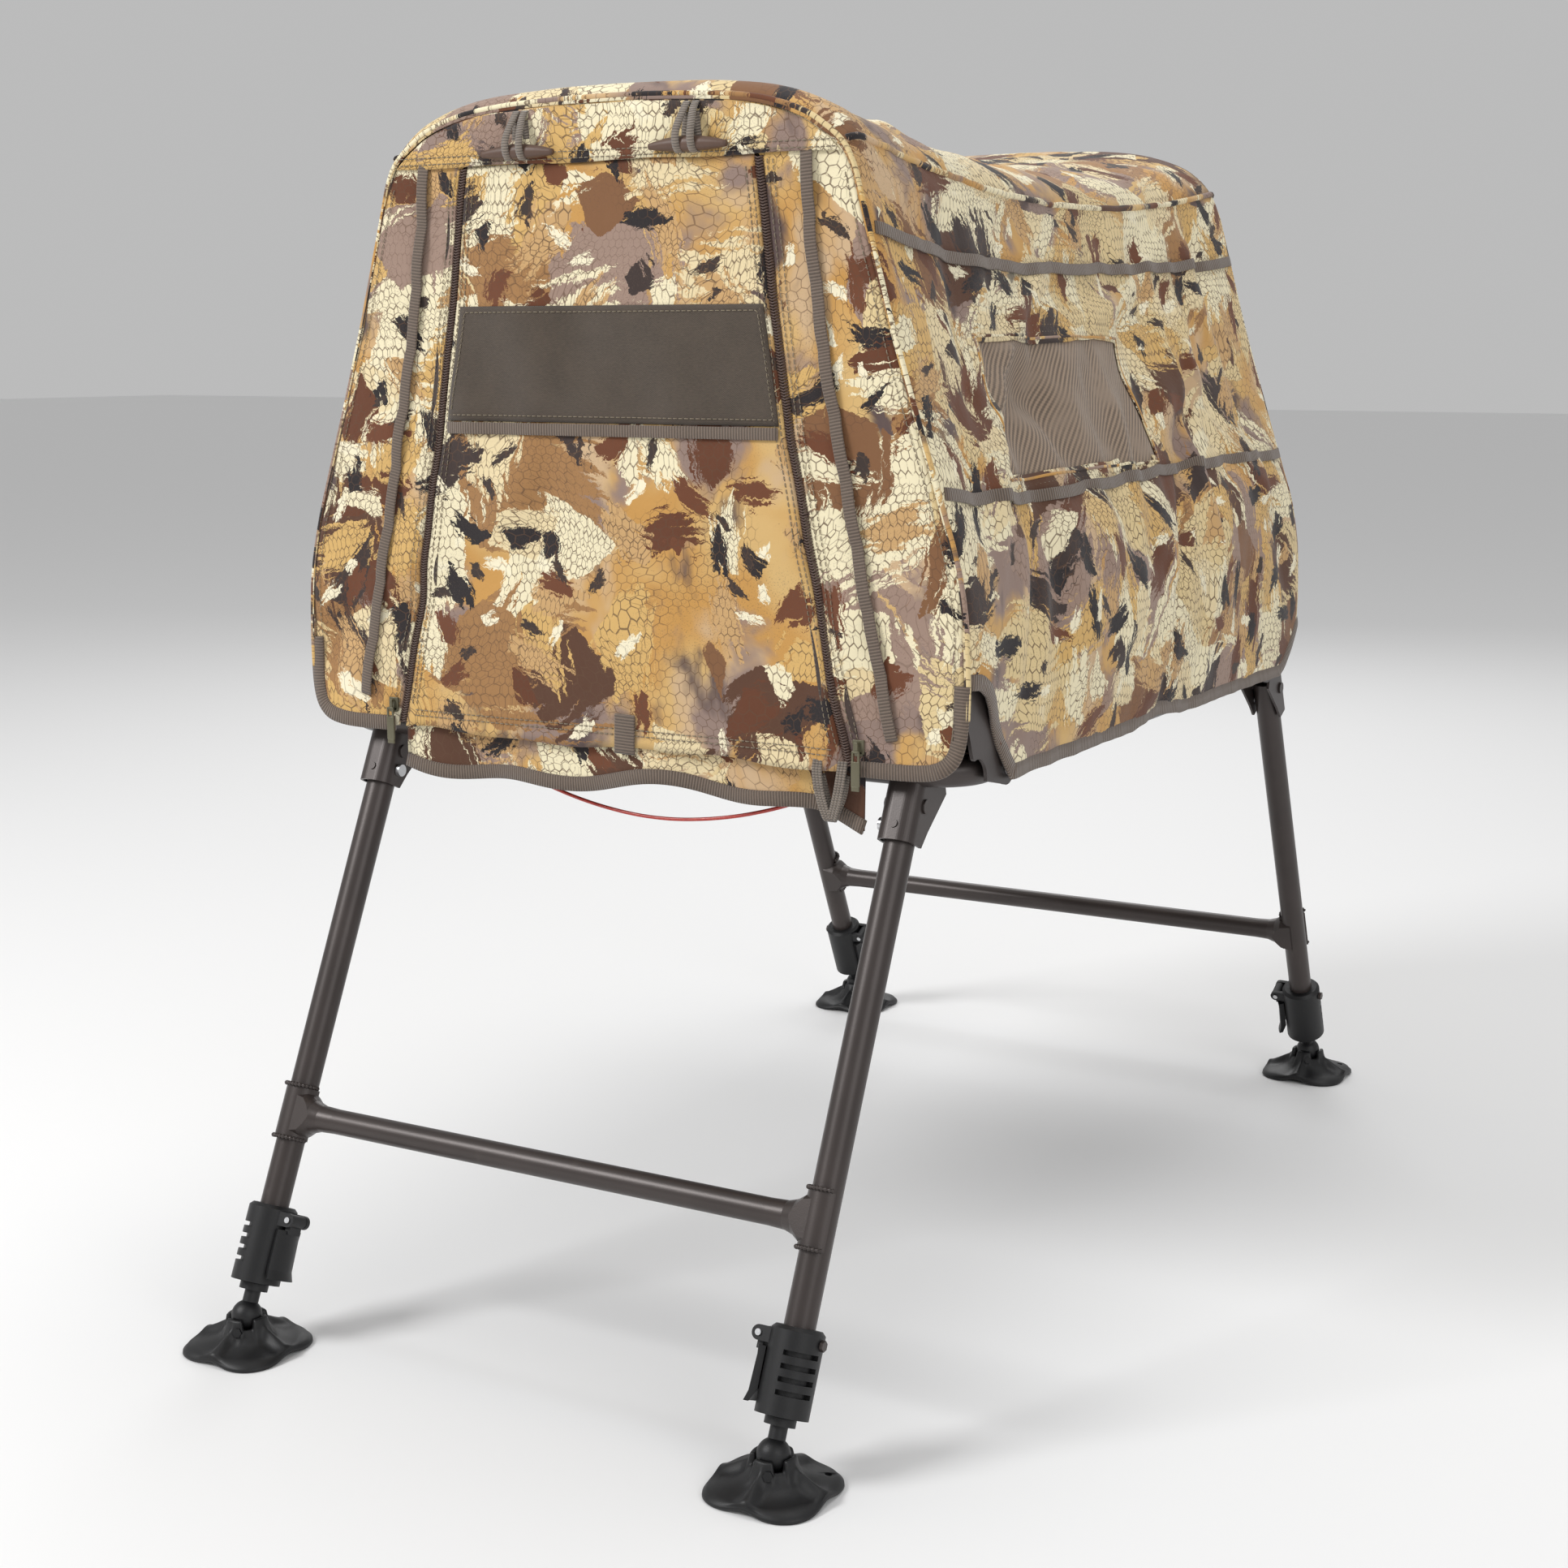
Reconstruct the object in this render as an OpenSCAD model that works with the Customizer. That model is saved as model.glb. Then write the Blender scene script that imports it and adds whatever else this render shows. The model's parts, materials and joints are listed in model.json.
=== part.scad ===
// Elevated pop-up field blind. A welded tube platform stands on two folding H-shaped leg frames.
// A cloth shell hangs over two folding hoops. The zipped door is at -Y, +Z is up, and the origin
// is on the ground under the middle of the platform.
// A corner is [name, side, end]: side -1 is left and +1 right, end -1 is front and +1 rear.

/* [Platform] */
// Outside width of the platform ring
platform_w = 650; // [640:1:650]
// Outside length of the platform ring
platform_l = 810; // [800:5:820]
// Diameter of the platform ring tube
ring_d = 25.4; // [24:0.1:26]
// Bend radius of the ring corners, at the tube centre
corner_r = 40; // [36:1:44]
// Thickness of the deck sheet
deck_t = 2; // [1.5:0.1:2.5]

/* [Legs] */
// Outside diameter of a leg tube
leg_d = 25.4; // [25:0.1:25.6]
// Lean of the open legs from upright
lean = 25; // [23:0.5:26]
// Distance from a leg pivot to the centre of its foot ball
leg_reach = 518.4; // [515:0.1:525]
// Distance between the front leg axes
front_track = 532; // [520:2:540]
// Distance between the rear leg axes
rear_track = 616; // [608:2:617]
// Diameter of the crossbars
bar_d = 22; // [20:0.5:24]
// Distance from the leg pivot to the crossbar
bar_drop = 339.4; // [330:0.1:360]

/* [Leg clamps and feet] */
// Outside diameter of a clamp housing
clamp_d = 43; // [42:0.5:45]
// Length of a clamp housing
clamp_len = 68; // [66:1:70]
// Distance from the leg pivot to the top of the clamp
clamp_drop = 421.4; // [418:0.1:423]
// Diameter of the foot ball
ball_d = 27; // [26:0.5:28]
// Width of a foot over its lobes
foot_d = 112; // [108:1:116]

/* [Shell] */
// Length of the cloth shell
shell_l = 843; // [840:1:846]
// Thickness of the cloth solids
cloth_t = 3; // [2.5:0.5:3.5]
// Drop of the roof between the hoops, as a share of its rise
roof_sag = 0.45; // [0.3:0.05:0.55]
// Diameter of the hoop tube
hoop_d = 19; // [18:0.5:20]

/* [Door] */
// Width of the door at its top edge
door_top_w = 288; // [270:2:300]
// Width of the door at mid height
door_mid_w = 344; // [330:2:350]
// Width of the door at its bottom edge
door_bottom_w = 454; // [430:2:460]
// Height of the door's top edge above the ground
door_top_z = 1014; // [1010:1:1016]

/* [Hidden] */
$fn = 48;
CORNERS = [["front_left", -1, -1], ["front_right", 1, -1], ["rear_left", -1, 1], ["rear_right", 1, 1]];
ENDS = [["front", -1], ["rear", 1]];
SIDES = [["left", -1], ["right", 1]];
CORNER_PARTS = ["lock_pin", "leg_tube", "clamp_housing", "cam_lever", "extension", "ball_stud", "foot"];
END_PARTS = ["leg_brackets", "crossbar", "clamp_pins", "clamp_screws", "hoop", "hinge_plates", "wall"];
SIDE_PARTS = ["wall", "window", "zip_slider"];

// Gaps: weld_gap lies between touching welded or seated parts, run_gap is the radial play of a
// turning or sliding fit
weld_gap = 0.05;
run_gap = 0.06;

// Heights and platform places
foot_h = 30;                                  // ball centre above the sole
pivot_z = foot_h + leg_reach * cos(lean);
pivot_set = 2.8;                              // leg pivot outside the ring's end tube
ring_x = platform_w / 2 - ring_d / 2;
ring_y = platform_l / 2 - ring_d / 2;
pivot_y = ring_y + pivot_set;
ring_z = pivot_z + ring_d / 2 + 15.5;
deck_z = ring_z + ring_d / 2;
brace_d = 19;
brace_ys = [-200, 0, 200];

// Leg parts
leg_wall = 2.1;
leg_top = 8;                                  // tube above its pivot
leg_tube_end = clamp_drop + 24;               // tube end inside the clamp
extension_d = leg_d - 2 * leg_wall - 2 * run_gap;
extension_top = 300;
collar_h = 6;
clamp_bottom = clamp_drop + clamp_len;
bolt_d = 8;
bracket_gap = 1;                              // between a leg and each side plate
bracket_t = 2.5;
bracket_back = 15.3;                          // leg axis to the inside of the bracket's back
lock_d = 6;
lock_drop = 18;
lock_stand = 0.4;                             // lock pin nose to leg tube

// Lever parts: the eye is beside the housing, on the leg's inner side
eye_x = clamp_d / 2 + 6.5;
eye_z = -(clamp_drop + 10);
eye_d = 11.4;
lever_w = 15.4;
lever_len = 52;
lever_spread = 34;                            // half angle of the paddle round the housing
lever_pin_d = 4;

// Shell outline: half width at each height of a side wall, then of the roof, at the hoops
WALL = [[329, 526], [332, 610], [329, 681], [300, 769], [263, 883], [231, 1000]];
ROOF = [[230.8, 1000.6], [228, 1010], [222, 1028], [188, 1060], [130, 1074], [0, 1078]];
eave_z = 1000;
front_bottom_z = 530;
end_y = shell_l / 2 - cloth_t / 2;            // middle of the end walls
inner_l = shell_l - 2 * cloth_t - 1;          // side walls and roof end 0.5 inside the end walls

// Hoops: side post, shoulder, crown corner, as [x, z]
hoop_y = 400;
hoop_foot_x = 315.9;
HOOP = [[hoop_foot_x, 566], [314, 680], [206, 1010], [120, 1056]];
knuckle = 0.8;                                // extra diameter of the welded knuckles
hinge_y = 338;
hinge_z = ring_z;
plate_x = 325.4;
plate_t = 3;
screw_d = 6;

// Door, zips and cable
door_mid_z = 803;
door_gap = 0.6;
slider_low = [236, 548];                      // slider place when the zip is closed
toggle_x = 83;
toggle_len = 72;
skirt_y = -412.5;
CABLE_X = [-135, 185];                        // where the cable leaves the front ring tube
cable_y = -395;
cable_d = 3.2;
grommet_z = ring_z - ring_d / 2 - 4.3;
// Route of the release cable: out of one grommet, down in a loop and up into the other
CABLE = [for (p = [
    [-135, 46], [-133, 41.5], [-128, 35.2], [-118, 28.9], [-102, 22.5], [-82, 16.2], [-58, 9.9], [-30, 4.5],
    [0, 0.9], [25, 0], [50, 0.9], [80, 4.5], [108, 9.9], [132, 16.2], [152, 22.5], [168, 28.9], [178, 35.2],
    [183, 41.5], [185, 46]
]) [p[0], cable_y, grommet_z - 46 + p[1]]];

steel = [0.27, 0.22, 0.21];
black_plastic = [0.09, 0.09, 0.1];
bright = [0.72, 0.72, 0.74];
camo = [0.72, 0.56, 0.34];
webbing = [0.42, 0.36, 0.31];

function track(c) = c[2] < 0 ? front_track : rear_track;
function leg_x(c) = c[1] * track(c) / 2;

// Children drawn in the leg's own frame: origin at its pivot, the leg running down -Z
module at_leg(c) {
    translate([leg_x(c), c[2] * pivot_y, pivot_z])
        rotate([c[2] * lean, 0, 0])
            children();
}

// A cylinder along X or Y, centred on the origin
module rod_x(d, h) {
    rotate([0, 90, 0]) cylinder(d = d, h = h, center = true);
}
module rod_y(d, h) {
    rotate([90, 0, 0]) cylinder(d = d, h = h, center = true);
}

// A straight tube from point a to point b in the plane of a hoop
module bar_between(a, b, d) {
    v = b - a;
    translate([a[0], 0, a[1]])
        rotate([0, atan2(v[0], v[1]), 0])
            cylinder(d = d, h = norm(v));
}

// The platform ring's solid shape, grown by grow
module ring_shape(grow = 0) {
    d = ring_d + 2 * grow;
    translate([0, 0, ring_z]) {
        for (s = [-1, 1]) {
            translate([s * ring_x, 0, 0]) rod_y(d, 2 * (ring_y - corner_r));
            translate([0, s * ring_y, 0]) rod_x(d, 2 * (ring_x - corner_r));
        }
        for (q = [[1, 1, 0], [-1, 1, 90], [-1, -1, 180], [1, -1, 270]])
            translate([q[0] * (ring_x - corner_r), q[1] * (ring_y - corner_r), 0])
                rotate_extrude(angle = 90, start = q[2]) translate([corner_r, 0]) circle(d = d);
    }
}

module platform_frame() {
    color(steel) difference() {
        ring_shape();
        for (s = [-1, 1], e = [-1, 1])
            translate([s * ring_x, e * hinge_y, hinge_z]) rod_x(screw_d + 0.1, ring_d + 4);
        for (x = CABLE_X)
            translate([x, cable_y, ring_z - ring_d / 2]) cylinder(d = 5, h = 8, center = true);
    }
}

module deck_braces() {
    color(steel) difference() {
        for (y = brace_ys)
            translate([0, y, deck_z - brace_d / 2]) rod_x(brace_d, 2 * ring_x);
        ring_shape(weld_gap);
    }
}

module deck_panel() {
    side = 2 * ring_x;
    along = 2 * ring_y;
    color(steel) translate([0, 0, deck_z + weld_gap]) linear_extrude(deck_t)
        union() {
            square([side - 2 * corner_r, along], center = true);
            square([side, along - 2 * corner_r], center = true);
            for (s = [-1, 1], e = [-1, 1])
                translate([s * (side / 2 - corner_r), e * (along / 2 - corner_r)]) circle(r = corner_r);
        }
}

// Cross-section of a leg bracket: a channel with a rounded back, open to the inside
module channel(out, grow) {
    round_r = 9.5 + grow;
    half = leg_d / 2 + bracket_gap + grow;
    back = bracket_back + grow;
    hull() {
        for (s = [-1, 1]) translate([s * (half - round_r), out * (back - round_r)]) circle(r = round_r);
        translate([0, -out * 30]) square([2 * half, 20], center = true);
    }
}

// A channel that a leg folds into, flared towards the ring and welded under it
module bracket(c) {
    out = c[2];
    back = bracket_back + bracket_t;
    at_leg(c) difference() {
        union() {
            intersection() {
                rotate([90, 0, 90]) linear_extrude(60, center = true)
                    polygon([[out * back, -33], [-out * 8, -33], [-out * 14, -18], [-out * 34, 20],
                             [-out * 20, 38], [out * back, 18]]);
                translate([0, 0, -60]) linear_extrude(120) difference() {
                    channel(out, bracket_t);
                    channel(out, 0);
                    translate([0, -out * 50]) square([2 * (leg_d / 2 + bracket_gap), 60], center = true);
                }
            }
            translate([0, out * (back + 0.3), -20]) rod_y(7, 1.6);
        }
        rod_x(bolt_d + 0.1, 60);
        translate([-c[1] * 15, 0, -lock_drop]) rod_x(lock_d + 2 * run_gap, 12);
    }
}

module leg_brackets(e) {
    color(steel) difference() {
        for (c = CORNERS) if (c[2] == e[1]) bracket(c);
        ring_shape(weld_gap);
    }
}

module leg_pivot_bolts() {
    half = leg_d / 2 + bracket_gap + bracket_t;
    color(bright) for (c = CORNERS) at_leg(c) {
        rod_x(bolt_d, 2 * half + 0.4);
        for (s = [-1, 1]) translate([s * (half + 1.1), 0, 0]) rod_x(12, 1.8);
    }
}

// Sliding pin in the inner side plate, with a head on the inside
module lock_pin(c) {
    nose = leg_d / 2 + lock_stand;
    plate = leg_d / 2 + bracket_gap + bracket_t;
    color(bright) at_leg(c) translate([0, 0, -lock_drop]) {
        translate([-c[1] * (nose + plate + 0.5) / 2, 0, 0]) rod_x(lock_d, plate - nose + 0.5);
        translate([-c[1] * (plate + 2.5), 0, 0]) rod_x(11, 4);
    }
}

module leg_tube(c) {
    color(steel) at_leg(c) difference() {
        translate([0, 0, -leg_tube_end]) cylinder(d = leg_d, h = leg_tube_end + leg_top);
        translate([0, 0, -leg_tube_end - 1])
            cylinder(d = leg_d - 2 * leg_wall, h = leg_tube_end + leg_top + 2);
        rod_x(bolt_d + 2 * run_gap, leg_d + 4);
    }
}

// Flare of a crossbar end: distance from the leg axis and diameter
FLARE = [[46, bar_d], [30, bar_d + 1.5], [21, bar_d + 7], [13, bar_d + 18], [0, bar_d + 22]];
flare_depth = 28;
saddle_t = 2.4;
saddle_h = 46;
saddle_past = 53;                             // angle that the saddle goes on past the leg's outer face

// Crossbar with flared ends, each with a saddle that wraps the outer face of its leg
module crossbar(e) {
    c = e[1] < 0 ? CORNERS[1] : CORNERS[3];
    out = c[2];
    half = track(c) / 2;
    grip = leg_d / 2 + weld_gap;
    color(steel) translate([0, out * pivot_y, pivot_z]) rotate([out * lean, 0, 0])
        translate([0, 0, -bar_drop])
        difference() {
            union() {
                rod_x(bar_d, track(c));
                for (s = [-1, 1]) translate([s * half, 0, 0]) {
                    intersection() {
                        for (i = [0:len(FLARE) - 2])
                            translate([-s * FLARE[i][0], 0, 0]) rotate([0, s * 90, 0])
                                cylinder(d1 = FLARE[i][1], d2 = FLARE[i + 1][1],
                                         h = FLARE[i][0] - FLARE[i + 1][0]);
                        cube([120, flare_depth, 80], center = true);
                    }
                    rotate_extrude(angle = saddle_past + 110,
                                   start = out * 90 + (s * out < 0 ? -110 : -saddle_past))
                        translate([grip - 1, -saddle_h / 2]) square([saddle_t + 1, saddle_h]);
                }
            }
            for (s = [-1, 1]) translate([s * half, 0, 0])
                cylinder(r = grip, h = 80, center = true);
        }
}

// Round clamp body with four curved slots and two ears for the lever
module clamp_housing(c) {
    color(black_plastic) at_leg(c) difference() {
        union() {
            translate([0, 0, -clamp_bottom]) cylinder(d = clamp_d, h = clamp_len - 3);
            translate([0, 0, -clamp_drop - 3]) cylinder(d1 = clamp_d, d2 = clamp_d - 6, h = 3);
            for (y = [-10, 10]) translate([0, y, eye_z]) {
                translate([-c[1] * (eye_x + 15) / 2, 0, 0]) cube([eye_x - 15, 4, 12], center = true);
                translate([-c[1] * eye_x, 0, 0]) rod_y(12, 4);
            }
        }
        translate([0, 0, -leg_tube_end]) cylinder(d = leg_d + 2 * weld_gap, h = 60);
        translate([0, 0, -clamp_bottom - 1]) cylinder(d = extension_d + 2 * run_gap, h = 60);
        translate([-c[1] * eye_x, 0, eye_z]) rod_y(lever_pin_d + 0.1, 40);
        translate([c[1] * clamp_d / 2, 0, eye_z]) rod_x(5, 12);
        for (i = [0:3])
            translate([0, 0, -clamp_drop - 22 - 10 * i])
                rotate_extrude(angle = 84, start = atan2(c[2], c[1]) - 42)
                    translate([clamp_d / 2 - 4.5, 0]) square([6, 4]);
    }
}

// Curved lever paddle that hugs the housing, hung from its eye
module cam_lever(c) {
    inner = clamp_d / 2 + 1;
    color(black_plastic) at_leg(c) difference() {
        union() {
            translate([-c[1] * eye_x, 0, eye_z]) rod_y(eye_d, lever_w);
            translate([-c[1] * (eye_x - 1), 0, eye_z - 6]) cube([5, lever_w, 12], center = true);
            translate([0, 0, eye_z - lever_len])
                rotate_extrude(angle = 2 * lever_spread, start = (c[1] > 0 ? 180 : 0) - lever_spread)
                    polygon([[inner + 5, 0], [inner + 9, 0], [inner + 6.5, 8], [inner + 5.5, 36],
                             [inner + 6, lever_len - 9], [inner, lever_len - 9], [inner, 10],
                             [inner + 2, 6]]);
        }
        translate([-c[1] * eye_x, 0, eye_z]) rod_y(lever_pin_d + 2 * run_gap, 40);
    }
}

module clamp_pins(e) {
    color(bright) for (c = CORNERS) if (c[2] == e[1])
        at_leg(c) translate([-c[1] * eye_x, 0, eye_z]) {
            rod_y(lever_pin_d, 25);
            for (s = [-1, 1]) translate([0, s * 12.8, 0]) rod_y(5.2, 1.2);
        }
}

module clamp_screws(e) {
    color(bright) for (c = CORNERS) if (c[2] == e[1])
        at_leg(c) translate([c[1] * (clamp_d / 2 - 0.5), 0, eye_z]) {
            translate([-c[1] * 2, 0, 0]) rod_x(4.8, 5);
            translate([c[1] * 2.1, 0, 0]) rotate([0, 90, 0]) cylinder(d = 9, h = 3, center = true, $fn = 6);
        }
}

module extension(c) {
    color(steel) at_leg(c) difference() {
        union() {
            translate([0, 0, -clamp_bottom - 1])
                cylinder(d = extension_d, h = clamp_bottom + 1 - extension_top);
            translate([0, 0, -clamp_bottom - 1 - collar_h]) cylinder(d = 25, h = collar_h);
        }
        translate([0, 0, -clamp_bottom + 5]) cylinder(d = extension_d - 3.6, h = 300);
    }
}

// Neck and ball that turn in the extension's collar
module ball_stud(c) {
    color(black_plastic) at_leg(c) {
        translate([0, 0, -leg_reach]) sphere(d = ball_d);
        translate([0, 0, -leg_reach]) cylinder(d = 14, h = leg_reach - clamp_bottom - 1.2 - collar_h);
    }
}

// Lobed mud foot with the socket for its ball. A stake hole goes through the lobe beside the leg
module foot(c) {
    r = foot_d / 2;
    wave = 4;
    hole_turn = c[1] > 0 ? 45 : 135;
    lobes = [for (a = [0:3:357]) (r - wave * (1 + cos(4 * a))) * [cos(a), sin(a)]];
    color(black_plastic) translate([leg_x(c), c[2] * (pivot_y + leg_reach * sin(lean)), foot_h])
        difference() {
            intersection() {
                rotate_extrude() polygon([[0, -17], [15, -18], [42, -foot_h], [r, -foot_h], [r, -foot_h + 4],
                                          [r - 10, -23], [30, -15], [23, -8], [20, 0], [19, 4], [0, 4]]);
                translate([0, 0, -foot_h - 1]) linear_extrude(60) polygon(lobes);
            }
            sphere(d = ball_d + 2 * run_gap);
            rotate([0, 0, hole_turn]) translate([r - 12, 0, -foot_h - 1]) cylinder(d = 6, h = 30);
        }
}

module hoop(e) {
    color(steel) translate([0, e[1] * hoop_y, 0]) {
        for (s = [-1, 1]) {
            for (i = [0:2])
                bar_between([s * HOOP[i][0], HOOP[i][1]], [s * HOOP[i + 1][0], HOOP[i + 1][1]], hoop_d);
            for (i = [1:3]) translate([s * HOOP[i][0], 0, HOOP[i][1]]) sphere(d = hoop_d + knuckle);
        }
        translate([0, 0, HOOP[3][1]]) rod_x(hoop_d, 2 * HOOP[3][0]);
    }
}

// Flat plates from the hoop feet round the ring to their pivots, cut out to clear the ring's end tube
module hinge_plates(e) {
    color(steel) for (s = [-1, 1])
        translate([s * (plate_x + plate_t / 2), e[1] * hinge_y, hinge_z]) rotate([90, 0, 90])
            linear_extrude(plate_t, center = true) difference() {
                union() {
                    circle(d = 30);
                    polygon([[0, 15], [e[1] * 40, 96], [e[1] * 74, 96], [e[1] * 76, 40], [e[1] * 66, 16],
                             [e[1] * 40, -6], [0, -15]]);
                }
                circle(d = screw_d + 2 * run_gap);
                translate([e[1] * (ring_y - hinge_y + 4), -4]) circle(r = ring_d / 2 + 6);
            }
}

module hoop_pivot_screws() {
    color(bright) for (s = [-1, 1], e = [-1, 1]) translate([s * (plate_x - 5), e * hinge_y, hinge_z]) {
        difference() {
            union() {
                rod_x(screw_d, 18);
                translate([s * (plate_t + 7), 0, 0]) rod_x(13, 3);
            }
            for (a = [0, 90]) rotate([a, 0, 0])
                translate([s * (plate_t + 8.2), 0, 0]) cube([2, 7, 1.4], center = true);
        }
    }
}

// Outline of the shell's end: both sides and the roof
function end_outline() = concat(
    [for (p = WALL) p],
    [for (p = ROOF) p],
    [for (i = [len(ROOF) - 2:-1:0]) [-ROOF[i][0], ROOF[i][1]]],
    [for (i = [len(WALL) - 1:-1:0]) [-WALL[i][0], WALL[i][1]]]
);
function door_outline(gap) = [
    [door_bottom_w / 2 + gap, front_bottom_z - 20], [door_mid_w / 2 + gap, door_mid_z],
    [door_top_w / 2 + gap, door_top_z + gap], [-door_top_w / 2 - gap, door_top_z + gap],
    [-door_mid_w / 2 - gap, door_mid_z], [-door_bottom_w / 2 - gap, front_bottom_z - 20]
];

module end_wall(e) {
    color(camo) translate([0, e[1] * end_y, 0]) rotate([90, 0, 0]) linear_extrude(cloth_t, center = true)
        difference() {
            polygon(end_outline());
            if (e[1] < 0) polygon(door_outline(door_gap));
        }
}

// One side wall before its openings are cut
module side_sheet(s) {
    outer = [for (p = WALL) [s[1] * p[0], p[1]]];
    inner = [for (i = [len(WALL) - 1:-1:0]) [s[1] * (WALL[i][0] - cloth_t), WALL[i][1]]];
    rotate([90, 0, 0]) linear_extrude(inner_l, center = true) polygon(concat(outer, inner));
}
module window_box(s, gap) {
    translate([s[1] * 280, -95, 837]) cube([120, 320 - 2 * gap, 106 - 2 * gap], center = true);
}
module side_wall(s) {
    corner = inner_l / 2;
    color(camo) difference() {
        side_sheet(s);
        window_box(s, 0);
        for (e = [-1, 1]) translate([s[1] * 330, 0, 0]) rotate([90, 0, 90])
            linear_extrude(40, center = true)
                polygon([[e * (corner + 2), 500], [e * (corner + 2), 640], [e * 372, 640], [e * 318, 560],
                         [e * 318, 500]]);
    }
}
module window(s) {
    color(webbing) intersection() {
        side_sheet(s);
        window_box(s, 0.3);
    }
}

// Roof: the roof outline carried from one end wall to the other, sagging in between
module roof() {
    steps = 12;
    outer = concat(ROOF, [for (i = [len(ROOF) - 2:-1:0]) [-ROOF[i][0], ROOF[i][1]]]);
    inner = [for (i = [len(outer) - 1:-1:0]) let (p = outer[i])
        [p[0] - sign(p[0]) * cloth_t, p[1] <= 1010 ? p[1] : p[1] - cloth_t]];
    ring = concat(outer, inner);
    n = len(ring);
    ys = [for (i = [0:steps]) inner_l * (i / steps - 0.5)];
    rise = [for (y = ys) 1 - roof_sag * (1 - pow(2 * y / inner_l, 2))];
    points = [for (i = [0:steps], p = ring) [p[0], ys[i], eave_z + 0.6 + (p[1] - eave_z - 0.6) * rise[i]]];
    quads = [for (i = [0:steps - 1], j = [0:n - 1])
        let (k = (j + 1) % n) [i * n + j, i * n + k, (i + 1) * n + k, (i + 1) * n + j]];
    skin = [for (q = quads, half = [[0, 1, 2], [0, 2, 3]]) [for (v = half) q[v]]];
    near = [for (j = [0:n / 2 - 2]) [n - 1 - j, n - 2 - j, j + 1, j]];
    far = [for (f = near) [for (v = [3:-1:0]) steps * n + f[v]]];
    color(camo) polyhedron(points, concat(skin, near, far), convexity = 6);
}

module door_panel() {
    color(camo) translate([0, -end_y, 0]) rotate([90, 0, 0]) linear_extrude(cloth_t, center = true)
        intersection() {
            polygon(door_outline(-door_gap / 2));
            translate([-400, front_bottom_z]) square([800, 600]);
        }
}

// Slider and pull of one door zip, beside the door's lower corner
module zip_slider(s) {
    x = s[1] * slider_low[0];
    face = -end_y - cloth_t / 2 - 0.3;
    color([0.3, 0.29, 0.22]) {
        translate([x, face - 2, slider_low[1]]) cube([10, 4, 14], center = true);
        translate([x, face - 5, slider_low[1] - 2]) cube([5, 2, 8], center = true);
        translate([x, face - 7, slider_low[1] - 16]) cube([8, 2, 34], center = true);
    }
}

module door_toggles() {
    color([0.3, 0.2, 0.15]) for (x = [-toggle_x, toggle_x])
        translate([x, -end_y - 10, door_top_z + 9]) for (s = [-1, 1]) rotate([0, s * 90, 0])
            cylinder(d1 = 13, d2 = 6, h = toggle_len / 2);
}

module front_skirt() {
    color(camo) translate([0, skirt_y, 526]) cube([456, 2, 68], center = true);
}

module cable_grommets() {
    color(black_plastic) for (x = CABLE_X) translate([x, cable_y, grommet_z]) difference() {
        cylinder(d = 8, h = 4);
        translate([0, 0, -1]) cylinder(d = 3.8, h = 6);
        translate([0, -cable_y - ring_y, ring_z - grommet_z]) rod_x(ring_d + 2 * weld_gap, 30);
    }
}

// Sweep of an eight-sided tube along a route that lies in a plane of constant y
module tube_along(route, d) {
    sides = 8;
    last = len(route) - 1;
    function heading(i) = let (v = route[min(i + 1, last)] - route[max(i - 1, 0)]) v / norm(v);
    points = [for (i = [0:last], k = [0:sides - 1])
        let (h = heading(i), a = 360 * k / sides)
            route[i] + d / 2 * (cos(a) * [0, 1, 0] + sin(a) * [-h[2], 0, h[0]])];
    skin = [for (i = [0:last - 1], k = [0:sides - 1])
        let (m = (k + 1) % sides) [i * sides + k, i * sides + m, (i + 1) * sides + m, (i + 1) * sides + k]];
    start_cap = [for (k = [sides - 1:-1:0]) k];
    end_cap = [for (k = [0:sides - 1]) last * sides + k];
    polyhedron(points, concat(skin, [start_cap, end_cap]), convexity = 4);
}

module release_cable() {
    color([0.62, 0.12, 0.1]) tube_along(CABLE, cable_d);
}

platform_frame();
deck_braces();
deck_panel();
leg_pivot_bolts();
hoop_pivot_screws();
roof();
door_panel();
door_toggles();
front_skirt();
cable_grommets();
release_cable();
for (c = CORNERS) {
    lock_pin(c);
    leg_tube(c);
    clamp_housing(c);
    cam_lever(c);
    extension(c);
    ball_stud(c);
    foot(c);
}
for (e = ENDS) {
    leg_brackets(e);
    crossbar(e);
    clamp_pins(e);
    clamp_screws(e);
    hoop(e);
    hinge_plates(e);
    end_wall(e);
}
for (s = SIDES) {
    side_wall(s);
    window(s);
    zip_slider(s);
}
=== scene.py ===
"""Elevated pop-up field blind: the looks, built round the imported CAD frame."""
import json
import math
import random

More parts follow.
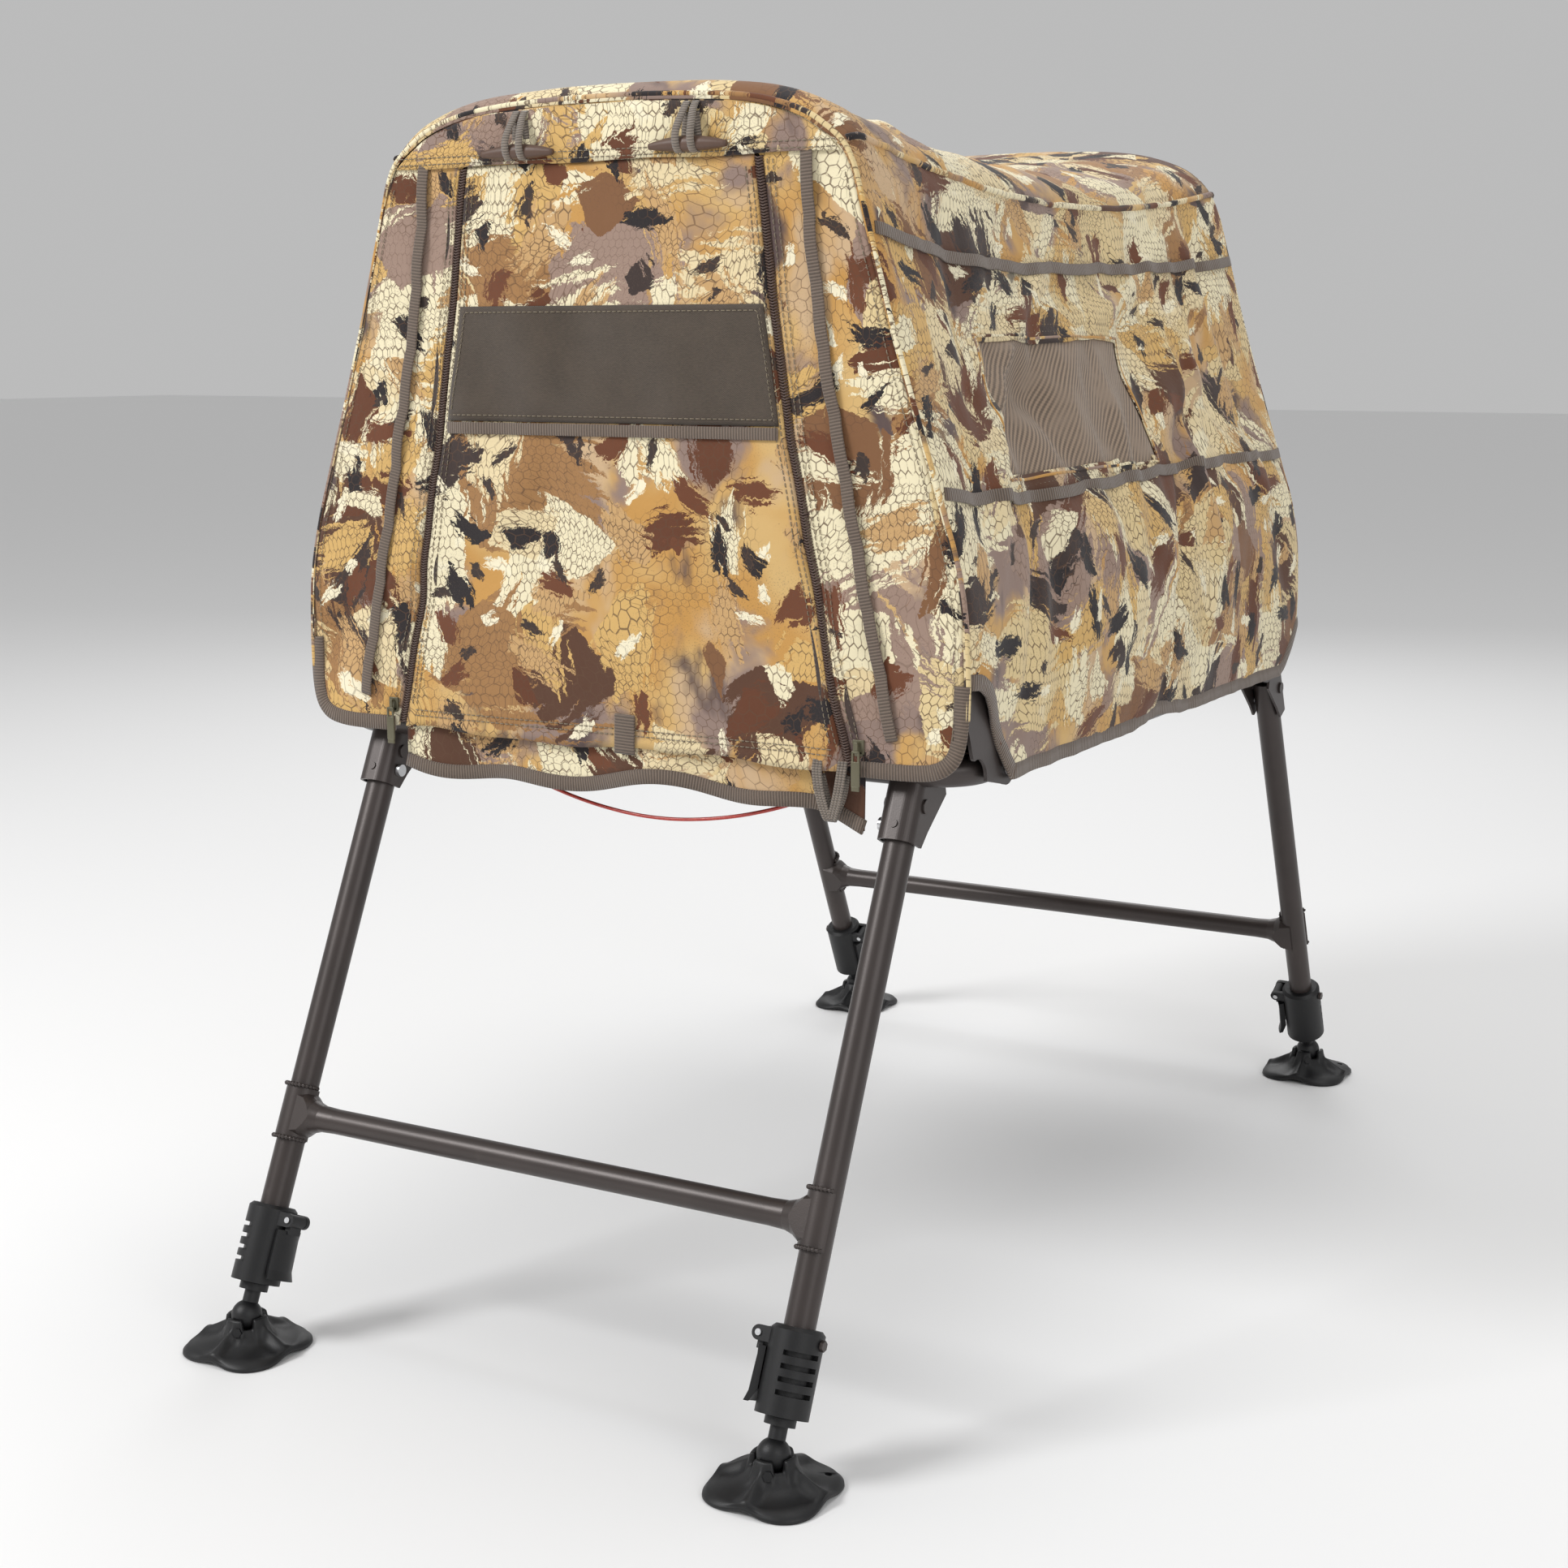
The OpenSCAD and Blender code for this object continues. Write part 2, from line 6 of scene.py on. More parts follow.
import bmesh
import bpy
import numpy as np
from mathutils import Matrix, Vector


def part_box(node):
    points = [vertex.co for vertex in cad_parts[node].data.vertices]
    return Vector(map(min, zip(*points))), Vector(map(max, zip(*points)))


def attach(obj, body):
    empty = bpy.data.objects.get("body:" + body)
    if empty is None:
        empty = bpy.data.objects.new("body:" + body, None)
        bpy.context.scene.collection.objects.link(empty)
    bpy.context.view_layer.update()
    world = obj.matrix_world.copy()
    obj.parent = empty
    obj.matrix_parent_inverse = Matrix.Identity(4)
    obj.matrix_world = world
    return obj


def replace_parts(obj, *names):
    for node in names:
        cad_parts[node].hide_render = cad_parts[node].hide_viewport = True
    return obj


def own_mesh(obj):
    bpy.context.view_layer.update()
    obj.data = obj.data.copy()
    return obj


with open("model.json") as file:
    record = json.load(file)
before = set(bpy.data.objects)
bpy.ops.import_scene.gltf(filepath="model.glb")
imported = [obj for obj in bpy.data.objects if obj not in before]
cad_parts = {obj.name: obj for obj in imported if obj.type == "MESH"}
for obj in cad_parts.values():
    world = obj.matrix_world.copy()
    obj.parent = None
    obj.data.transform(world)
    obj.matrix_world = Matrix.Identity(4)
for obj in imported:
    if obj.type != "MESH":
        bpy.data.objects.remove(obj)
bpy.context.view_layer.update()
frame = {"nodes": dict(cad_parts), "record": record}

# ---------------------------------------------------------------- places, in metres
FRONT = float(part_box("front_wall")[0][1])  # outer face of the front end
REAR = -FRONT
HEM_Z = 0.528                              # lower edge of the end panels
DOOR_TOP = float(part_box("door_panel")[1][2])
# Half width of the shell at each height, from the hem to the middle of the roof, as in the CAD
PROFILE = [(0.329, 0.520), (0.332, 0.610), (0.329, 0.681), (0.300, 0.769), (0.263, 0.883),
           (0.231, 1.000), (0.224, 1.026), (0.206, 1.048), (0.172, 1.063), (0.130, 1.0725),
           (0.060, 1.0765), (0.0, 1.077)]
SEAM_Z = 1.024                             # roof seam at the hoops
# Half width of the door at each height: (height, half width)
DOOR_HALF = [(0.530, 0.228), (0.640, 0.203), (0.803, 0.172), (0.910, 0.156), (1.014, 0.144)]
HOOP_Y = 0.405                             # distance of the hoops from the middle
WIN_Y = (-0.262, 0.060)                    # side windows: along the blind, and up the profile
WIN_S = (0.245, 0.365)
CLOTH = 0.0011                             # thicknesses and widths of the soft goods
WEBBING = (0.0105, 0.0014)
THREAD_LIFT = 0.0006
SIDES = ((-1, "left"), (1, "right"))


def rounded(points, turns=2):
    """Corner-cut polyline, ends kept."""
    p = np.array(points, float)
    for _ in range(turns):
        a, b = p[:-1] * 0.75 + p[1:] * 0.25, p[:-1] * 0.25 + p[1:] * 0.75
        p = np.vstack([p[:1], np.stack([a, b], 1).reshape(-1, p.shape[1]), p[-1:]])
    return p


def lengths(p):
    return np.concatenate([[0], np.cumsum(np.linalg.norm(np.diff(p, axis=0), axis=1))])


def along(p, s):
    """Points at the distances s along polyline p."""
    d = lengths(p)
    return np.stack([np.interp(s, d, p[:, k]) for k in range(p.shape[1])], -1)


HALF = rounded(PROFILE)
HALF_LEN = lengths(HALF)[-1]
SEAM_S = float(np.interp(SEAM_Z, HALF[:, 1], lengths(HALF)))


def half_width(z):
    return np.interp(z, HALF[:, 1], HALF[:, 0])


def door_half(z):
    curve = rounded([(b, a) for a, b in DOOR_HALF])
    return np.interp(z, curve[:, 1], curve[:, 0])


# ---------------------------------------------------------------- node trees
class Tree:
    """A material's node tree, built with short calls."""

    def __init__(self, name, **shader):
        self.material = bpy.data.materials.new(name)
        self.material.use_nodes = True
        self.tree = self.material.node_tree
        self.shader = self.tree.nodes["Principled BSDF"]
        self.set(**shader)

    def feed(self, socket, value):
        if isinstance(value, bpy.types.NodeSocket):
            self.tree.links.new(value, socket)
        elif hasattr(value, "__len__") and len(value) == 3 and socket.type == "RGBA":
            socket.default_value = (*value, 1.0)
        else:
            socket.default_value = value

    def set(self, **values):
        for key, value in values.items():
            self.feed(self.shader.inputs[key.replace("_", " ")], value)

    def add(self, kind, inputs, out=0, **props):
        node = self.tree.nodes.new("ShaderNode" + kind)
        for key, value in props.items():
            setattr(node, key, value)
        for key, value in inputs.items():
            self.feed(node.inputs[key], value)
        return node.outputs[out]

    def uv(self):
        return self.add("UVMap", {}, uv_map="cloth")

    def place(self):
        return self.add("TexCoord", {}, out="Object")

    def split(self, vec):
        """The x, y and z of a vector."""
        return self.add("SeparateXYZ", {0: vec}).node.outputs

    def math(self, op, a, b=0.0):
        return self.add("Math", {0: a, 1: b}, operation=op)

    def plus(self, a, b):
        return self.math("ADD", a, b)

    def times(self, a, b):
        return self.math("MULTIPLY", a, b)

    def wave(self, value, pitch):
        return self.math("SINE", self.times(value, 2 * math.pi / pitch))

    def vector(self, op, a, b=(0, 0, 0)):
        out = "Value" if op in ("DOT_PRODUCT", "LENGTH") else "Vector"
        return self.add("VectorMath", {0: a, 1: b}, out=out, operation=op)

    def shaded(self, colour, shade):
        """A colour made lighter or darker by a number."""
        return self.add("VectorMath", {0: colour, "Scale": shade}, operation="SCALE")

    def drift(self, vec, noise, reach):
        """A place moved about by a colour noise, up to half of reach."""
        moved = self.vector("SUBTRACT", noise, (0.5, 0.5, 0.5))
        return self.vector("ADD", vec, self.vector("MULTIPLY", moved, (reach, reach, 0)))

    def stretch(self, vec, scale, angle=0.0, shift=(0, 0, 0)):
        return self.add("Mapping", {"Vector": vec, "Scale": scale, "Rotation": (0, 0, angle), "Location": shift})

    def noise(self, vec, scale, detail=3.0, rough=0.5, out="Fac"):
        return self.add("TexNoise", {"Vector": vec, "Scale": scale, "Detail": detail, "Roughness": rough},
                        out=out)

    def step(self, value, low, high):
        return self.add("MapRange", {"Value": value, "From Min": low, "From Max": high},
                        interpolation_type="SMOOTHSTEP")

    def span(self, value, low, high):
        """value from 0..1 to low..high"""
        return self.add("MapRange", {"Value": value, "To Min": low, "To Max": high})

    def mix(self, fac, a, b):
        return self.add("Mix", {0: fac, 6: a, 7: b}, out=2, data_type="RGBA")

    def bump(self, height, strength, distance, normal=None):
        inputs = {"Height": height, "Strength": strength, "Distance": distance}
        if normal is not None:
            inputs["Normal"] = normal
        return self.add("Bump", inputs)


def weave_height(t, uv, pitch):
    """Plain weave: two crossed sets of threads of the given pitch."""
    x, y, _ = t.split(uv)
    return t.times(t.wave(x, pitch), t.wave(y, pitch))


def hex_lines(t, uv, size, width):
    """Mask of the lines between regular hexagonal cells of the given size."""
    tall = math.sqrt(3.0)
    cell, half = (1.0, tall, 1.0), (0.5, tall / 2, 0.5)
    positive = (200.0, 200.0 * tall, 0.0)      # whole cells, so that the modulo never sees a negative
    flat = (1, 1, 0)
    p = t.vector("ADD", t.vector("MULTIPLY", uv, (1 / size, 1 / size, 0)), positive)
    a, b = (t.vector("MULTIPLY", t.vector("SUBTRACT", t.vector("MODULO", q, cell), half), flat)
            for q in (p, t.vector("ADD", p, half)))
    nearer = t.math("LESS_THAN", t.vector("DOT_PRODUCT", a, a), t.vector("DOT_PRODUCT", b, b))
    q = t.vector("ABSOLUTE", t.add("Mix", {0: nearer, 4: b, 5: a}, out=1, data_type="VECTOR"))
    slant = t.vector("DOT_PRODUCT", q, (0.5, tall / 2, 0))
    flat_side = t.vector("DOT_PRODUCT", q, (1, 0, 0))
    return t.step(t.math("MAXIMUM", slant, flat_side), 0.5 - width, 0.5 - width * 0.35)


OCHRE, GOLD, CREAM = (0.56, 0.300, 0.085), (0.66, 0.44, 0.18), (0.86, 0.77, 0.53)
RUST, MAUVE = (0.130, 0.046, 0.022), (0.290, 0.205, 0.170)
CHARCOAL, PEACH = (0.026, 0.021, 0.022), (0.60, 0.42, 0.25)
TAUPE = (0.150, 0.112, 0.086)


def brush(t, uv, size, shift, share, grain, reach, stretch):
    """Ragged brush marks, each with its own direction: (mask, colour draw)."""
    p = t.vector("ADD", uv, shift)
    cells = t.add("TexVoronoi", {"Vector": p, "Scale": 1 / size}).node.outputs
    draw = t.add("SeparateColor", {0: cells["Color"]}).node.outputs
    local = t.vector("SUBTRACT", p, cells["Position"])
    turned = t.add("VectorRotate", {"Vector": local, "Angle": t.times(draw[0], 6.2)}, rotation_type="Z_AXIS")
    along_mark = t.vector("ADD", t.vector("MULTIPLY", turned, (1.1 / size, grain / size, 1)), cells["Color"])
    streaks = t.noise(along_mark, 1.0, 5, 0.68)
    far = t.vector("LENGTH", t.vector("MULTIPLY", turned, (stretch[0] / size, stretch[1] / size, 0)))
    field = t.math("SUBTRACT", t.plus(t.times(streaks, 1.5), reach - 0.75), far)
    chosen = t.math("GREATER_THAN", draw[1], 1 - share)
    return t.times(t.step(field, 0.0, 0.03), chosen), draw[2]


def camo_material(name):
    """Printed marsh-grass cloth: soft clouds, turned brush marks and nets of cell lines."""
    t = Tree(name, Roughness=0.88, Sheen_Weight=0.15, Sheen_Roughness=0.5, Specular_IOR_Level=0.25)
    uv = t.uv()
    slow = t.noise(uv, 9.0, 2, out="Color")
    p = t.drift(uv, slow, 0.06)
    q = t.drift(p, t.noise(uv, 150.0, 3, 0.65, out="Color"), 0.010)
    colour = t.mix(t.step(t.noise(p, 8.0, 3), 0.40, 0.62), OCHRE, GOLD)
    clouds = (  # scale, turn, shift, detail, low, high, colour
        ((13, 8, 1), 0.5, (3, 1, 0), 3, 0.52, 0.64, PEACH),
        ((12, 9, 1), -0.6, (7, 5, 0), 4, 0.515, 0.60, MAUVE),
        ((15, 9, 1), 1.1, (1, 7, 0), 4, 0.555, 0.66, (0.110, 0.075, 0.070)),
    )
    for scale, turn, shift, detail, low, high, ink in clouds:
        cloud = t.noise(t.stretch(p, scale, turn, shift), 1.0, detail)
        colour = t.mix(t.step(cloud, low, high), colour, ink)
    warped = t.drift(uv, slow, 0.075)
    net = hex_lines(t, warped, 0.0095, 0.055)
    broken = t.step(t.noise(uv, 95.0, 3, 0.6), 0.36, 0.50)
    scales = t.times(hex_lines(t, t.vector("MULTIPLY", warped, (1.0, 0.62, 0)), 0.0068, 0.075), broken)
    layers = (  # size, shift, share, grain, reach, first colour, second colour, change, scale lines, stretch
        (0.150, (0.3, 0.1, 0), 0.36, 12, 0.52, (0.36, 0.190, 0.075), (0.34, 0.235, 0.185), 0.5, 0.35, (0.8, 1.3)),
        (0.140, (1.7, 0.9, 0), 0.60, 12, 0.54, CREAM, (0.74, 0.58, 0.31), 0.60, 0.85, (0.75, 1.35)),
        (0.100, (7.9, 4.4, 0), 0.19, 14, 0.48, (0.105, 0.048, 0.028), (0.22, 0.105, 0.048), 0.50, 0.0, (0.8, 1.4)),
        (0.080, (5.2, 6.1, 0), 0.40, 11, 0.44, (0.66, 0.42, 0.15), (0.80, 0.66, 0.40), 0.5, 0.80, (0.8, 1.4)),
        (0.070, (4.1, 2.2, 0), 0.30, 14, 0.38, RUST, (0.050, 0.034, 0.030), 0.50, 0.0, (0.7, 1.7)),
        (0.062, (6.4, 3.8, 0), 0.34, 13, 0.38, CREAM, (0.58, 0.36, 0.16), 0.6, 0.80, (0.7, 1.7)),
        (0.044, (8.8, 5.1, 0), 0.26, 12, 0.35, CHARCOAL, (0.155, 0.055, 0.026), 0.60, 0.0, (0.7, 1.8)),
        (0.026, (2.9, 7.7, 0), 0.12, 9, 0.34, (0.90, 0.82, 0.60), (0.050, 0.035, 0.030), 0.55, 0.4, (0.7, 1.8)),
    )
    for size, shift, share, grain, reach, one, two, change, lines, stretch in layers:
        mask, draw = brush(t, q, size, shift, share, grain, reach, stretch)
        ink = t.mix(t.step(draw, change - 0.01, change + 0.01), one, two)
        if lines:
            ink = t.mix(t.times(scales, lines), ink, (0.115, 0.066, 0.038))
        colour = t.mix(mask, colour, ink)
    here = t.step(t.noise(t.stretch(uv, (8, 9, 1), 0.2, (2, 8, 0)), 1.0, 2), 0.44, 0.52)
    colour = t.mix(t.times(t.times(net, here), 0.62), colour, (0.115, 0.060, 0.034))
    dots = t.step(t.noise(uv, 750.0, 1), 0.60, 0.66)
    dotted = t.step(t.noise(uv, 10.0, 2), 0.45, 0.6)
    colour = t.mix(t.times(t.times(dots, dotted), 0.35), colour, (0.10, 0.065, 0.05))
    crumple = t.bump(t.noise(uv, 26.0, 5, 0.6), 0.45, 0.004)
    t.set(Base_Color=colour, Normal=t.bump(weave_height(t, uv, 0.0009), 0.25, 0.0003, crumple))
    return t.material


def plain_weave(name, colour, pitch):
    """Plain cloth with uneven threads and worn places; the colour is also painted shade, a little darker in the dips
    of the weave.
    """
    t = Tree(name, Roughness=0.85, Sheen_Weight=0.2, Sheen_Roughness=0.5)
    uv = t.uv()
    threads = weave_height(t, uv, pitch)
    worn = t.noise(uv, 35.0, 4, 0.6)
    slubs = t.noise(t.stretch(uv, (260, 900, 1)), 1.0, 2)
    # a little painted shade from the weave (darker in its dips), plus worn places and uneven threads
    shade = t.plus(t.plus(t.times(threads, 0.10), t.span(worn, 0.70, 1.20)), t.span(slubs, -0.35, 0.35))
    t.set(Base_Color=t.shaded(colour, shade), Normal=t.bump(threads, 0.5, 0.0006))
    return t.material


def ribbed_webbing(name, colour, pitch=0.0026):
    """Grosgrain: ribs across the strap, UV x running along it; the colour is painted shade, darker in the grooves
    between the ribs and lighter on their crests, over the fibres' own tone.
    """
    t = Tree(name, Roughness=0.78, Sheen_Weight=0.3, Sheen_Roughness=0.4)
    uv = t.uv()
    ribs = t.wave(t.split(uv)[0], pitch)
    fibres = t.noise(t.stretch(uv, (300, 2200, 1)), 1.0, 3)
    # painted shade and highlight from the ribs (darker in the grooves, lighter on the crests), plus the random tone
    # of the fibres
    shade = t.plus(t.times(ribs, 0.34), t.span(fibres, 0.72, 1.28))
    t.set(Base_Color=t.shaded(colour, shade), Normal=t.bump(ribs, 0.6, 0.0007, t.bump(fibres, 0.25, 0.0005)))
    return t.material


def window_mesh():
    """Dark net with a slanting weave; the colour is painted shade, darker between the threads and lighter on them."""
    t = Tree("window_mesh", Roughness=0.7, Sheen_Weight=0.15)
    uv = t.uv()
    x, y, _ = t.split(t.stretch(uv, (1, 1, 1), 0.75))
    threads = t.plus(t.wave(x, 0.0044), t.times(t.wave(y, 0.0026), 0.3))
    # painted shade: darker between the threads, lighter on the threads
    colour = t.mix(t.step(threads, -0.9, 0.9), (0.135, 0.098, 0.070), (0.33, 0.24, 0.17))
    colour = t.mix(t.step(t.noise(uv, 22.0, 3), 0.45, 0.75), colour, (0.28, 0.21, 0.155))
    t.set(Base_Color=colour, Normal=t.bump(threads, 0.2, 0.0005))
    return t.material


def powder_coat(name, colour, rough=0.38):
    """Satin powder coat with orange peel, faint scuffs and dust."""
    t = Tree(name, Metallic=0.35, Specular_IOR_Level=0.5, Coat_Weight=0.12, Coat_Roughness=0.35)
    p = t.place()
    scuffs = t.step(t.noise(t.stretch(p, (40, 40, 12)), 1.0, 6, 0.7), 0.60, 0.80)
    base = t.mix(t.step(t.noise(p, 14.0, 4), 0.35, 0.7), colour, tuple(c * 1.22 for c in colour))
    base = t.mix(t.times(scuffs, 0.25), base, (0.13, 0.11, 0.10))
    peel = t.bump(t.noise(p, 900.0, 2, 0.5), 0.12, 0.0006)
    t.set(Base_Color=base, Roughness=t.plus(t.times(scuffs, 0.16), rough), Normal=peel)
    return t.material


def moulded(name, colour, rough=0.42, grit=1300.0):
    """Moulded plastic with a fine pebble and a little dust."""
    t = Tree(name, Specular_IOR_Level=0.45)
    p = t.place()
    pebble = t.noise(p, grit, 3, 0.6)
    dust = t.step(t.noise(p, 30.0, 5, 0.65), 0.50, 0.78)
    base = t.mix(t.times(dust, 0.4), colour, tuple(c * 1.5 + 0.006 for c in colour))
    t.set(Base_Color=base, Roughness=t.plus(t.times(pebble, 0.18), rough), Normal=t.bump(pebble, 0.22, 0.0007))
    return t.material


def zinc(name):
    t = Tree(name, Metallic=1.0)
    p = t.place()
    spangle = t.noise(p, 420.0, 3)
    t.set(Base_Color=t.mix(spangle, (0.55, 0.56, 0.58), (0.78, 0.78, 0.78)),
          Roughness=t.span(spangle, 0.25, 0.45), Normal=t.bump(spangle, 0.08, 0.0003))
    return t.material


def coated_cable():
    t = Tree("cable_red", Roughness=0.3, Coat_Weight=0.3)
    p = t.place()
    lay = t.noise(p, 380.0, 3)
    base = t.mix(t.step(lay, 0.4, 0.7), (0.42, 0.028, 0.02), (0.52, 0.06, 0.035))
    t.set(Base_Color=base, Normal=t.bump(lay, 0.1, 0.0004))
    return t.material


def deck_sheet():
    """Expanded sheet: a relief of slanted diamonds under powder coat; the colour is painted shade, near black in the
    hollows between the strands and lighter on them.
    """
    t = Tree("deck_metal", Metallic=0.35, Roughness=0.45)
    x, y, _ = t.split(t.place())
    across, ahead = t.times(x, 260), t.times(y, 130)
    strands = t.math("MAXIMUM", t.math("SINE", t.plus(across, ahead)),
                     t.math("SINE", t.math("SUBTRACT", across, ahead)))
    # painted shade: near black in the hollows between the strands, lighter on the strands themselves
    base = t.mix(t.step(strands, 0.1, 0.5), (0.012, 0.011, 0.010), (0.085, 0.068, 0.06))
    t.set(Base_Color=base, Normal=t.bump(strands, 0.8, 0.002))
    return t.material


KINDS = {   # kind: (material, slot of the record)
    "camo": (camo_material("camo_fabric"), "camo_fabric"),
    "webbing": (ribbed_webbing("webbing", TAUPE), "webbing"),
    "elastic": (ribbed_webbing("elastic", (0.20, 0.165, 0.135), 0.0022), "webbing"),
    "patch": (plain_weave("patch_fabric", (0.078, 0.057, 0.040), 0.0016), "patch_fabric"),
    "thread": (plain_weave("thread", (0.30, 0.24, 0.16), 0.0009), "webbing"),
    "tape": (plain_weave("zip_tape", (0.060, 0.037, 0.029), 0.0010), "zip_coil"),
    "coil": (moulded("zip_coil", (0.085, 0.050, 0.038), 0.35), "zip_coil"),
    "window": (window_mesh(), "window_mesh"),
    "frame": (powder_coat("frame_metal", (0.047, 0.037, 0.034)), "frame_metal"),
    "black": (moulded("black_plastic", (0.0065, 0.0065, 0.0072), 0.36), "black_plastic"),
    "zinc": (zinc("bright_metal"), "bright_metal"),
    "slider": (powder_coat("zip_metal", (0.115, 0.105, 0.065), 0.35), "zip_metal"),
    "toggle": (moulded("toggle_plastic", (0.105, 0.060, 0.042), 0.38, 700.0), "toggle_plastic"),
    "cable": (coated_cable(), "cable_red"),
    "deck": (deck_sheet(), "deck_metal"),
}


# ---------------------------------------------------------------- mesh helpers
def link(obj):
    bpy.context.scene.collection.objects.link(obj)
    return obj


def piece(name, verts, faces, kind, body="platform", uv=None, smooth=True, soft=False):
    """A new mesh object in the row frame, with its material and body."""
    mesh = bpy.data.meshes.new(name)
    mesh.from_pydata([tuple(map(float, v)) for v in verts], [], [tuple(map(int, f)) for f in faces])
    mesh.validate()
    mesh.update()
    if uv is not None:
        layer = mesh.uv_layers.new(name="cloth")
        corner = np.zeros(len(mesh.loops), np.int32)
        mesh.loops.foreach_get("vertex_index", corner)
        layer.data.foreach_set("uv", np.asarray(uv, np.float32)[corner].ravel())
    mesh.polygons.foreach_set("use_smooth", [smooth] * len(mesh.polygons))
    obj = link(bpy.data.objects.new(name, mesh))
    material, slot = KINDS[kind]
    mesh.materials.append(material)
    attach(obj, body)
    if soft:   # the cloth gets a mesh of its own
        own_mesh(obj)
    return obj


def corners(node):
    """Lowest and highest corner of a node, as arrays."""
    return [np.array(p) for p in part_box(node)]


def resampled(p, count):
    """The same line, with count points at even distances."""
    p = np.asarray(p, float)
    return along(p, np.linspace(0, lengths(p)[-1], count))


def grid_faces(rows, cols, keep=None):
    """Quads of a rows x cols grid of points; keep is a mask of its cells."""
    r, c = np.meshgrid(np.arange(rows - 1), np.arange(cols - 1), indexing="ij")
    a = r * cols + c
    quads = np.stack([a, a + 1, a + cols + 1, a + cols], -1)
    return quads[keep] if keep is not None else quads.reshape(-1, 4)


def thicken(verts, faces, uv, thickness):
    """A sheet given a back and edges, so that it is a closed solid, without points that no face uses."""
    v = np.asarray(verts, float)
    f = np.asarray(faces, int)
    normal = np.zeros_like(v)
    face_normal = np.cross(v[f[:, 2]] - v[f[:, 0]], v[f[:, 3]] - v[f[:, 1]])
    for k in range(4):
        np.add.at(normal, f[:, k], face_normal)
    size = np.linalg.norm(normal, axis=1, keepdims=True)
    back = v - normal / np.maximum(size, 1e-12) * thickness
    n = len(v)
    edges = {}
    for quad in f.tolist():
        for a, b in zip(quad, quad[1:] + quad[:1]):
            if (b, a) in edges:
                del edges[(b, a)]
            else:
                edges[(a, b)] = True
    rim = [(b, a, a + n, b + n) for a, b in edges]
    faces = np.vstack([f, f[:, ::-1] + n, np.array(rim, int).reshape(-1, 4)])
    used = np.unique(faces)
    index = -np.ones(2 * n, int)
    index[used] = np.arange(len(used))
    return np.vstack([v, back])[used], index[faces], np.vstack([uv, uv])[used]


def cloth(name, points, faces, uv, thickness, kind="camo", body="platform"):
    """A closed soft sheet from a grid of points."""
    v, f, u = thicken(points.reshape(-1, 3), faces, uv, thickness)
    return piece(name, v, f, kind, body, u, soft=True)


def frames(path, up):
    """Sideways and up directions at each point of a path, up given per point or once."""
    p = np.asarray(path, float)
    t = np.gradient(p, axis=0)
    t /= np.linalg.norm(t, axis=1, keepdims=True)
    u = np.broadcast_to(np.asarray(up, float), p.shape)
    side = np.cross(t, u)
    side /= np.maximum(np.linalg.norm(side, axis=1, keepdims=True), 1e-9)
    return side, np.cross(side, t)


def sweep(path, up, section, size=1.0):
    """A closed section of (side, up) offsets carried along a path, times size: verts, faces, uv."""
    p = np.asarray(path, float)
    side, top = frames(p, up)
    sec = np.asarray(section, float)
    n, m = len(p), len(sec)
    size = np.broadcast_to(size, n)[:, None, None]
    verts = (p[:, None] + side[:, None] * sec[None, :, :1] * size
             + top[:, None] * sec[None, :, 1:] * size).reshape(-1, 3)
    faces = [(i * m + k, i * m + (k + 1) % m, (i + 1) * m + (k + 1) % m, (i + 1) * m + k)
             for i in range(n - 1) for k in range(m)]
    faces += [tuple(range(m - 1, -1, -1)), tuple((n - 1) * m + k for k in range(m))]
    return verts, faces, np.stack([np.repeat(lengths(p), m), np.tile(sec[:, 0], n)], -1)


def circle_section(radius, sides=10):
    a = np.arange(sides) * 2 * math.pi / sides
    return np.stack([np.cos(a), np.sin(a)], -1) * radius


def strap_section(width, thick):
    """Flat strap with softly rounded edges, lying on its base."""
    w, t = width / 2, thick
    return [(-w, 0.15 * t), (-w + t * 0.5, 0), (w - t * 0.5, 0), (w, 0.15 * t), (w, 0.8 * t),
            (w - t * 0.6, t), (0, t * 1.05), (-w + t * 0.6, t), (-w, 0.8 * t)]


def hem_section(half, below, above):
    """Binding folded over an edge."""
    out = half + 0.0006
    return [(-half, -below), (half, -below), (out, 0), (half, above), (-half, above), (-out, 0)]


def join(parts):
    """Several (verts, faces, uv) as one."""
    verts, faces, uv, base = [], [], [], 0
    for v, f, u in parts:
        verts.append(np.asarray(v, float))
        uv.append(np.asarray(u, float))
        faces += [tuple(int(i) + base for i in q) for q in f]
        base += len(v)
    return np.vstack(verts), faces, np.vstack(uv)


def sewn(name, parts, kind, body="platform", shift=(0, 0)):
    """Several strips as one soft piece; shift moves them on the pattern."""
    v, f, u = join(parts)
    return piece(name, v, f, kind, body, u + shift, soft=True)


def stitches(path, up, pitch=0.0052, stitch=0.0036, radius=0.00045):
    """A row of separate raised thread stitches along a path."""
    p = np.asarray(path, float)
    d = lengths(p)
    both = np.hstack([p, np.broadcast_to(np.asarray(up, float), p.shape)])
    arch = np.array([[0.0], [radius * 1.6], [0.0]])
    parts = []
    for s in np.arange(pitch / 2, d[-1] - stitch, pitch):
        row = np.stack([np.interp((s, s + stitch / 2, s + stitch), d, both[:, k]) for k in range(6)], -1)
        q, n = row[:, :3], row[:, 3:]
        parts.append(sweep(q + n * arch, n, circle_section(radius, 4)))
    return join(parts)


